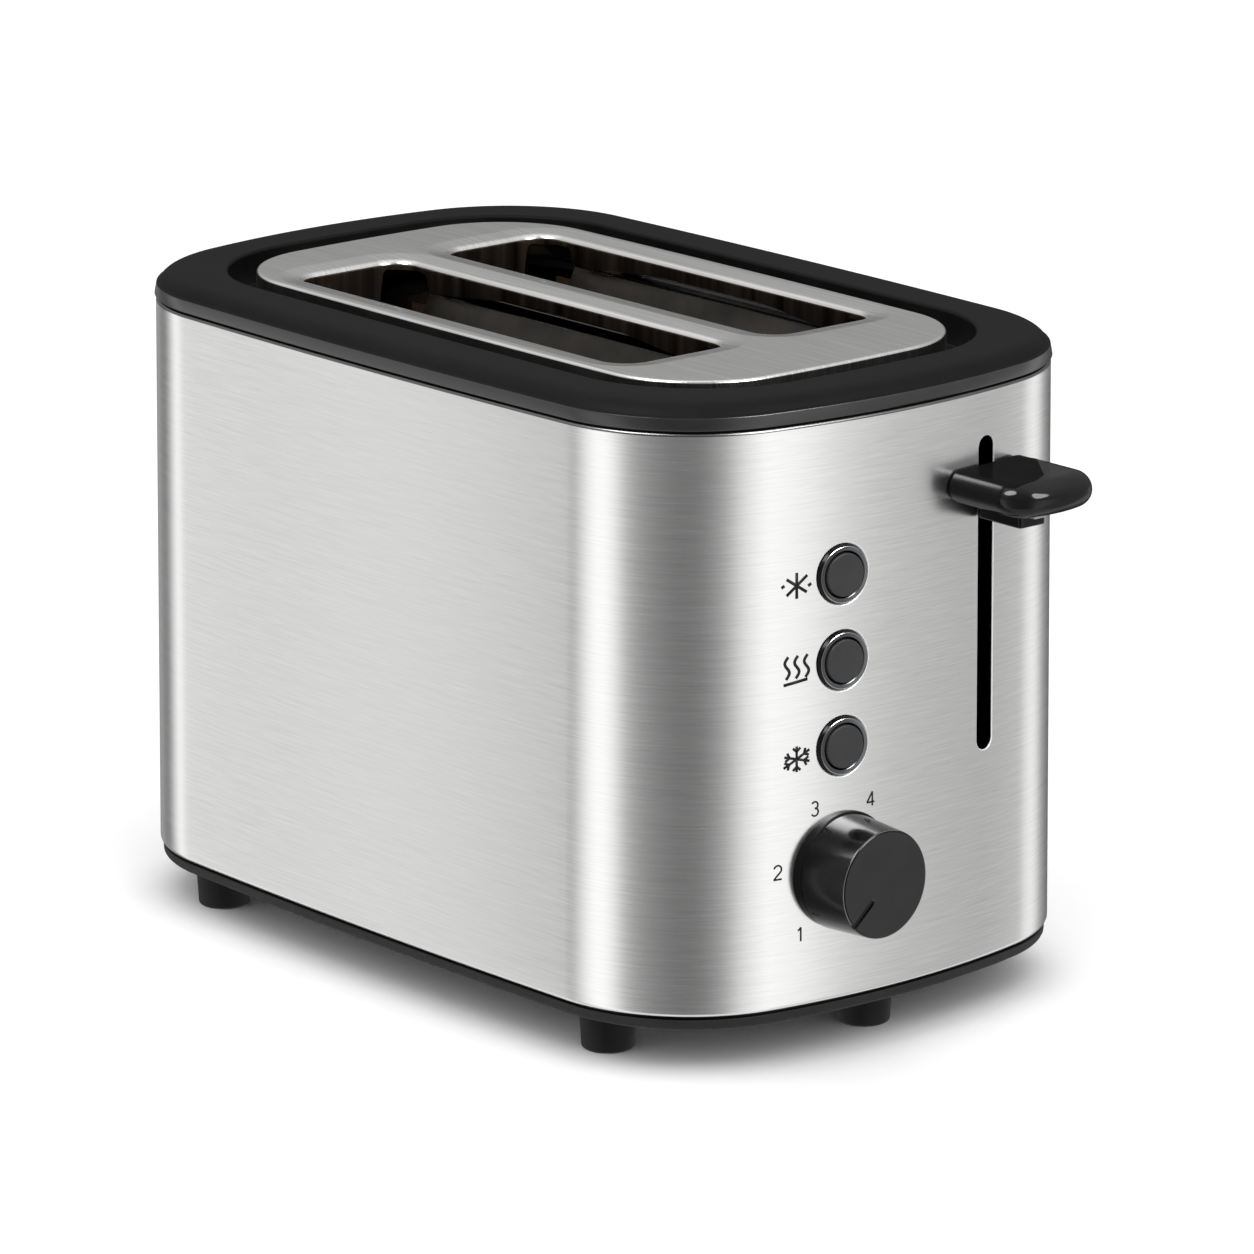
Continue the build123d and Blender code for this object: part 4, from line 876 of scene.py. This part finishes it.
# Dished lips: a small section carried round each hole in the wrap, from just under the skin, rounding down
# into the hole, in a pale finish that paints a highlight round each hole. The section is (out from the hole, above
# the skin), in shares of the dish.
lipSection = np.array([(1.3, -0.7), (1.3, -0.08), (0.99, -0.03), (0.67, -0.12), (0.37, -0.32), (0.13, -0.6),
                       (0.0, -0.95), (0.0, -1.5), (0.5, -1.5)])


def holeLip(name, outline, dish):
    along = np.roll(outline, -1, 0) - np.roll(outline, 1, 0)
    along /= np.linalg.norm(along, axis=1)[:, None]
    loops = []
    for wide, proud in lipSection * dish:
        y, z = (outline + columns(along[:, 1], -along[:, 0]) * wide).T
        angle = np.arcsin(y / bodyPlan["endRadius"])
        loops.append(columns(endX(y, z) + proud * np.cos(angle), y + proud * np.sin(angle), z))
    addPiece(name, stackLoops(name, loops, 60), paleLipHighlight, "housing", "steel_wrap")


leverSlot = slotOutline(wrap["slotWidth"], wrap["slotLow"], wrap["slotHigh"]) + [wrap["leverY"], 0]
holeLip("leverSlotLip", leverSlot, wrap["slotDish"])
for use, z in wrap["buttons"].items():
    holeLip(use + "HoleLip", arcRun((wrap["controlY"], z), wrap["hole"], 0, 360, 97)[:-1], wrap["ringDish"])

# Printed marks: flat outlines wrapped onto the bowed end, a hair above the steel.
ink = {"lift": 0.03, "film": 0.03}


# A pen stroke: its centre line with half the width to each side.
def stroke(line, width):
    line = np.asarray(line, float)
    along = np.gradient(line, axis=0)
    along /= np.linalg.norm(along, axis=1)[:, None]
    side = columns(-along[:, 1], along[:, 0]) * width / 2
    n = len(line)
    i = np.arange(n - 1)
    return np.concatenate([line - side, line + side]), np.stack([i, i + 1, n + i + 1, n + i], 1)


def strokesOnEnd(name, lines, width, y, z):
    points, faces, first = [], [], 0
    for line in lines:
        p, f = stroke(line, width)
        points.append(p + [y, z])
        faces += (f + first).tolist()
        first += len(p)
    across, up = np.concatenate(points).T
    mesh = makeMesh(name, columns(bodyX + endX(across, up) + ink["lift"], across, up), faces)
    film = addPiece(name, mesh, printInk, "housing", "gloss_black").modifiers.new("film", "SOLIDIFY")
    film.thickness, film.offset = ink["film"] * mm, 1.0


# Numerals and signs: straight runs and arcs, given about each mark's own middle.
def numeralLines():
    return {
        "1": [[(0.2, -2.0), (0.2, 0.0), (0.2, 2.0)], [(0.2, 1.95), (-0.2, 1.4), (-0.75, 1.15)]],
        "2": [profileOf(arcRun((0, 0.85), 1.15, 165, -40), [(-0.55, -1.25), (-1.15, -1.95)]),
              [(-1.3, -1.95), (0, -1.95), (1.25, -1.95)]],
        "3": [arcRun((-0.05, 1.0), 1.0, 150, -88), arcRun((-0.05, -0.9), 1.1, 90, -152)],
        "4": [[(0.55, -2.0), (0.55, 0), (0.55, 2.0)], [(0.5, 1.95), (-0.4, 0.5), (-1.3, -0.85)],
              [(-1.35, -0.9), (0, -0.9), (1.25, -0.9)]],
        "5": [[(1.05, 1.9), (0.1, 1.9), (-0.85, 1.9)], [(-0.8, 1.95), (-0.9, 1.0), (-1.0, 0.1)],
              arcRun((-0.05, -0.75), 1.2, 140, -150)],
        "6": [arcRun((0, -0.85), 1.15, 0, 360, 30), [(-1.15, -0.85), (-0.95, 0.4), (-0.4, 1.4), (0.7, 2.0)]],
    }


dial = {"radius": 21.0, "pen": 0.50, "angles": {"1": 229, "2": 172.5, "3": 115.5, "4": 62.4, "5": 5, "6": -51}}
for text, lines in numeralLines().items():
    turn = radians(dial["angles"][text])
    strokesOnEnd("numeral" + text, lines, dial["pen"], wrap["controlY"] + dial["radius"] * cos(turn),
                 wrap["knobZ"] + dial["radius"] * sin(turn))

icons = {"y": -38.4, "z": {"cancel": 134.27, "reheat": 111.5, "defrost": 85.85}, "pen": 0.86, "finePen": 0.74}
steam = {"swing": 0.72, "turns": 1.16, "lag": 0.08, "low": -3.0, "tall": 6.3, "across": (-3.0, 0.05, 3.1)}
flake = {"arms": ((90, 3.6), (28.5, 4.6), (-14.5, 4.2), (270, 3.6), (207, 4.6), (165, 4.0)), "root": 0.58,
         "twig": 1.6, "spread": 48}


def heading(angle):
    return np.array([cos(radians(angle)), sin(radians(angle))])


def spoke(angle, start, stop):
    return [heading(angle) * f for f in (start, (start + stop) / 2, stop)]


def starLines():
    ticks = [[(-4.75, -0.05), (-4.3, 0.2), (-3.8, 0.45)], [(4.6, 0.05), (4.1, -0.2), (3.6, -0.5)]]
    return [spoke(90, -3.6, 3.6), spoke(37.5, -4.0, 4.2), spoke(146, -3.8, 3.8)] + ticks


def steamLines(v):
    t = np.linspace(0, 1, 19)
    wave = v["swing"] * np.sin(2 * pi * (v["turns"] * t - v["lag"]))
    waves = [columns(x + wave, v["low"] + v["tall"] * t) for x in v["across"]]
    return waves + [[(-4.1, -4.5), (-0.35, -4.05), (3.4, -3.6)]]


def flakeLines(v):
    lines = []
    for angle, length in v["arms"]:
        lines.append(spoke(angle, 0, length))
        root = heading(angle) * length * v["root"]
        for side in (-v["spread"], v["spread"]):
            lines.append([root + heading(angle + side) * f for f in (0, v["twig"] / 2, v["twig"])])
    return lines


for use, lines, pen in (("cancel", starLines(), "pen"), ("reheat", steamLines(steam), "pen"),
                        ("defrost", flakeLines(flake), "finePen")):
    strokesOnEnd(use + "Icon", lines, icons[pen], icons["y"], icons["z"][use])
print("marks printed")

# Return spring: a round wire carried along a helix.
spring = {"node": "carriage_spring", "wire": 1.0, "turns": 12, "steps": 26, "sides": 10}


def returnSpring(v):
    low, high = (np.array(p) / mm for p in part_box(v["node"]))
    r, sides = v["wire"] / 2, v["sides"]
    radius, tall = (high[1] - low[1]) / 2 - r, high[2] - low[2] - 2 * r
    t = np.linspace(0, 1, v["turns"] * v["steps"] + 1)
    turn = 2 * pi * v["turns"] * t
    slope = tall / (2 * pi * v["turns"] * radius)
    outward = columns(np.cos(turn), np.sin(turn), 0.0)
    upward = columns(slope * np.sin(turn), -slope * np.cos(turn), 1.0) / sqrt(1 + slope * slope)
    line = (low + high) / 2 + radius * outward
    line[:, 2] = low[2] + r + tall * t
    s = np.linspace(0, -2 * pi, sides, endpoint=False)[None, :, None]
    loops = line[:, None] + r * (np.cos(s) * outward[:, None] + np.sin(s) * upward[:, None])
    obj = newObject("returnSpring", makeMesh("returnSpring", loops.reshape(-1, 3), cappedFaces(len(t), sides), 60))
    obj.data.materials.append(finishes["spring_steel"])
    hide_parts(v["node"])
    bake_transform(obj)


returnSpring(spring)

# Camera, then a pale floor and soft light.
shot = {"azimuth": 49.492, "elevation": 15.244, "distance": 2057.36, "target": (13.886, 0.0, 92.164),
        "lens": 207.16, "sensor": 36.0, "clip": (0.05, 50.0)}
a, e = radians(shot["azimuth"]), radians(shot["elevation"])
back = Vector((sin(a) * cos(e), -cos(a) * cos(e), sin(e)))
target = Vector(shot["target"]) + Vector((bodyX, 0, 0))
camera = newObject("camera", bpy.data.cameras.new("camera"))
camera.data.lens, camera.data.sensor_width = shot["lens"], shot["sensor"]
camera.data.clip_start, camera.data.clip_end = shot["clip"]
camera.location = (target + back * shot["distance"]) * mm
camera.rotation_mode = "QUATERNION"
camera.rotation_quaternion = (-back).to_track_quat("-Z", "Y")
scene.camera = camera

studio = {"world": 1.08, "floor": 0.94, "floorReach": 9000.0, "drumRadius": 900.0, "drumStep": 2.0, "roof": 1.35,
          "roofHeight": 1400.0, "roofShare": 0.001}


def stageMesh(name, points, faces, material):
    obj = newObject(name, makeMesh(name, points, faces))
    obj.data.materials.append(material)
    return obj


def floorMaterial(v):
    material, tree, shader = newMaterial("paleFloor", Roughness=0.9, Specular_IOR_Level=0.0)
    shader.inputs["Base Color"].default_value = (v["floor"], v["floor"], v["floor"], 1)
    side = addNode(tree, "ShaderNodeNewGeometry")
    solid = addNode(tree, "ShaderNodeMath", [(side.outputs["Backfacing"], 1)], {0: 1.0}, operation="SUBTRACT")
    tree.links.new(solid.outputs[0], shader.inputs["Alpha"])  # not seen from below
    return material


far = studio["floorReach"]
floor = stageMesh("floor", [(-far, -far, 0), (far, -far, 0), (far, far, 0), (-far, far, 0)], [(0, 1, 2, 3)],
                  floorMaterial(studio))
floor.visible_glossy = False

# Studio wall seen only in reflections: light and dark panels round the object, by direction; the lower part
# is what the walls mirror, the upper part what the top and the rounded edges mirror.
panels = {
    "low": [(-180, 0.25), (-171, 0.12), (-163, 0.8), (-156, 1.7), (-150, 1.10), (-145, 0.72), (-141, 0.91),
            (-137, 1.13), (-131, 0.98), (-125, 0.40), (-119, 0.52), (-112, 1.08), (-101, 1.60), (-90, 1.42),
            (-80, 0.58), (-68, 0.36), (-56, 0.26), (-46, 0.21), (-33, 0.22), (-19, 0.43), (-6, 1.04), (7, 1.38),
            (17, 1.50), (24, 0.92), (33, 0.68), (44, 0.64), (55, 0.52), (62, 0.66), (68, 1.08), (76, 1.30),
            (84, 1.05), (92, 0.40), (110, 0.12), (135, 0.10), (155, 0.12), (168, 0.45), (180, 0.25)],
    "mid": [(-180, 0.35), (-150, 0.6), (-120, 0.8), (-85, 0.6), (-70, 0.18), (-25, 0.18), (0, 0.8), (60, 0.6),
            (90, 0.3), (120, 0.12), (160, 0.12), (180, 0.35)],
    "high": [(-180, 0.7), (-120, 0.8), (-90, 0.7), (-70, 0.3), (-25, 0.3), (0, 0.8), (60, 0.7), (100, 0.52),
             (140, 0.48), (180, 0.6)],
}
panelRows = [(-900.0, "low", 1.0), (150.0, "low", 1.0), (240.0, "mid", 1.0), (420.0, "high", 1.0),
             (1000.0, "high", 1.5), (1050.0, "high", 1.7)]  # height, panels, share of their level


def drumMaterial():
    material, tree, shader = newMaterial("studioPanels")
    tree.nodes.remove(shader)
    attribute = addNode(tree, "ShaderNodeAttribute", attribute_name="panelLevel")
    light = addNode(tree, "ShaderNodeEmission", [(attribute.outputs["Fac"], "Strength")])
    tree.links.new(light.outputs[0], tree.nodes["Material Output"].inputs["Surface"])
    return material


# An upright drum with a cone for its roof; each row's levels are read from its panels by direction.
def studioDrum(v):
    angles = np.arange(-180, 180, v["drumStep"])
    t = np.radians(angles)
    x, y = v["drumRadius"] * np.cos(t), v["drumRadius"] * np.sin(t)
    rows = [(1, z, share * np.interp(angles, *np.transpose(panels[name]))) for z, name, share in panelRows]
    rows.append((v["roofShare"], v["roofHeight"], np.full(len(t), v["roof"])))
    points = np.concatenate([columns(x * share, y * share, z) for share, z, _ in rows])
    drum = stageMesh("studioPanels", points, loopFaces(len(rows), len(t), False), drumMaterial())
    layer = drum.data.attributes.new("panelLevel", "FLOAT", "POINT")
    layer.data.foreach_set("value", np.concatenate([levels for _, _, levels in rows]))
    drum.visible_camera = drum.visible_diffuse = drum.visible_shadow = False


studioDrum(studio)

world = bpy.data.worlds.new("studioWorld")
scene.world = world
world.use_nodes = True
worldTree = world.node_tree
backLight = worldTree.nodes["Background"]
path = addNode(worldTree, "ShaderNodeLightPath")
seen = path.outputs["Is Camera Ray"]
for ray in ("Is Glossy Ray", "Is Transmission Ray"):
    either = addNode(worldTree, "ShaderNodeMath", [(seen, 0), (path.outputs[ray], 1)], operation="MAXIMUM")
    seen = either.outputs[0]
backLight.inputs["Color"].default_value = (1, 1, 1, 1)
worldTree.links.new(toRange(worldTree, seen, studio["world"], 1.0, 0.0, 1.0), backLight.inputs["Strength"])

# Round soft lamps: a large key over the left shoulder and two small ones whose spots show on the gloss.
lamps = {"softKey": {"size": 2.4, "energy": 8.0, "place": (0.12, 0.0, 1.6)},
         "spotLeft": {"size": 0.46, "energy": 9.5, "place": (0.03, -0.54, 0.8)},
         "spotRight": {"size": 0.46, "energy": 9.0, "place": (0.74, 0.11, 0.64)}}
lampAim = Vector((0, 0, 0.1))
for name, v in lamps.items():
    lamp = bpy.data.lights.new(name, "AREA")
    lamp.shape, lamp.size, lamp.energy = "DISK", v["size"], v["energy"]
    holder = newObject(name, lamp)
    holder.location = v["place"]
    holder.rotation_mode = "QUATERNION"
    holder.rotation_quaternion = (lampAim - holder.location).to_track_quat("-Z", "Y")
    holder.visible_camera = False
    holder.visible_diffuse = name == "softKey"

scene.view_settings.view_transform = "Standard"
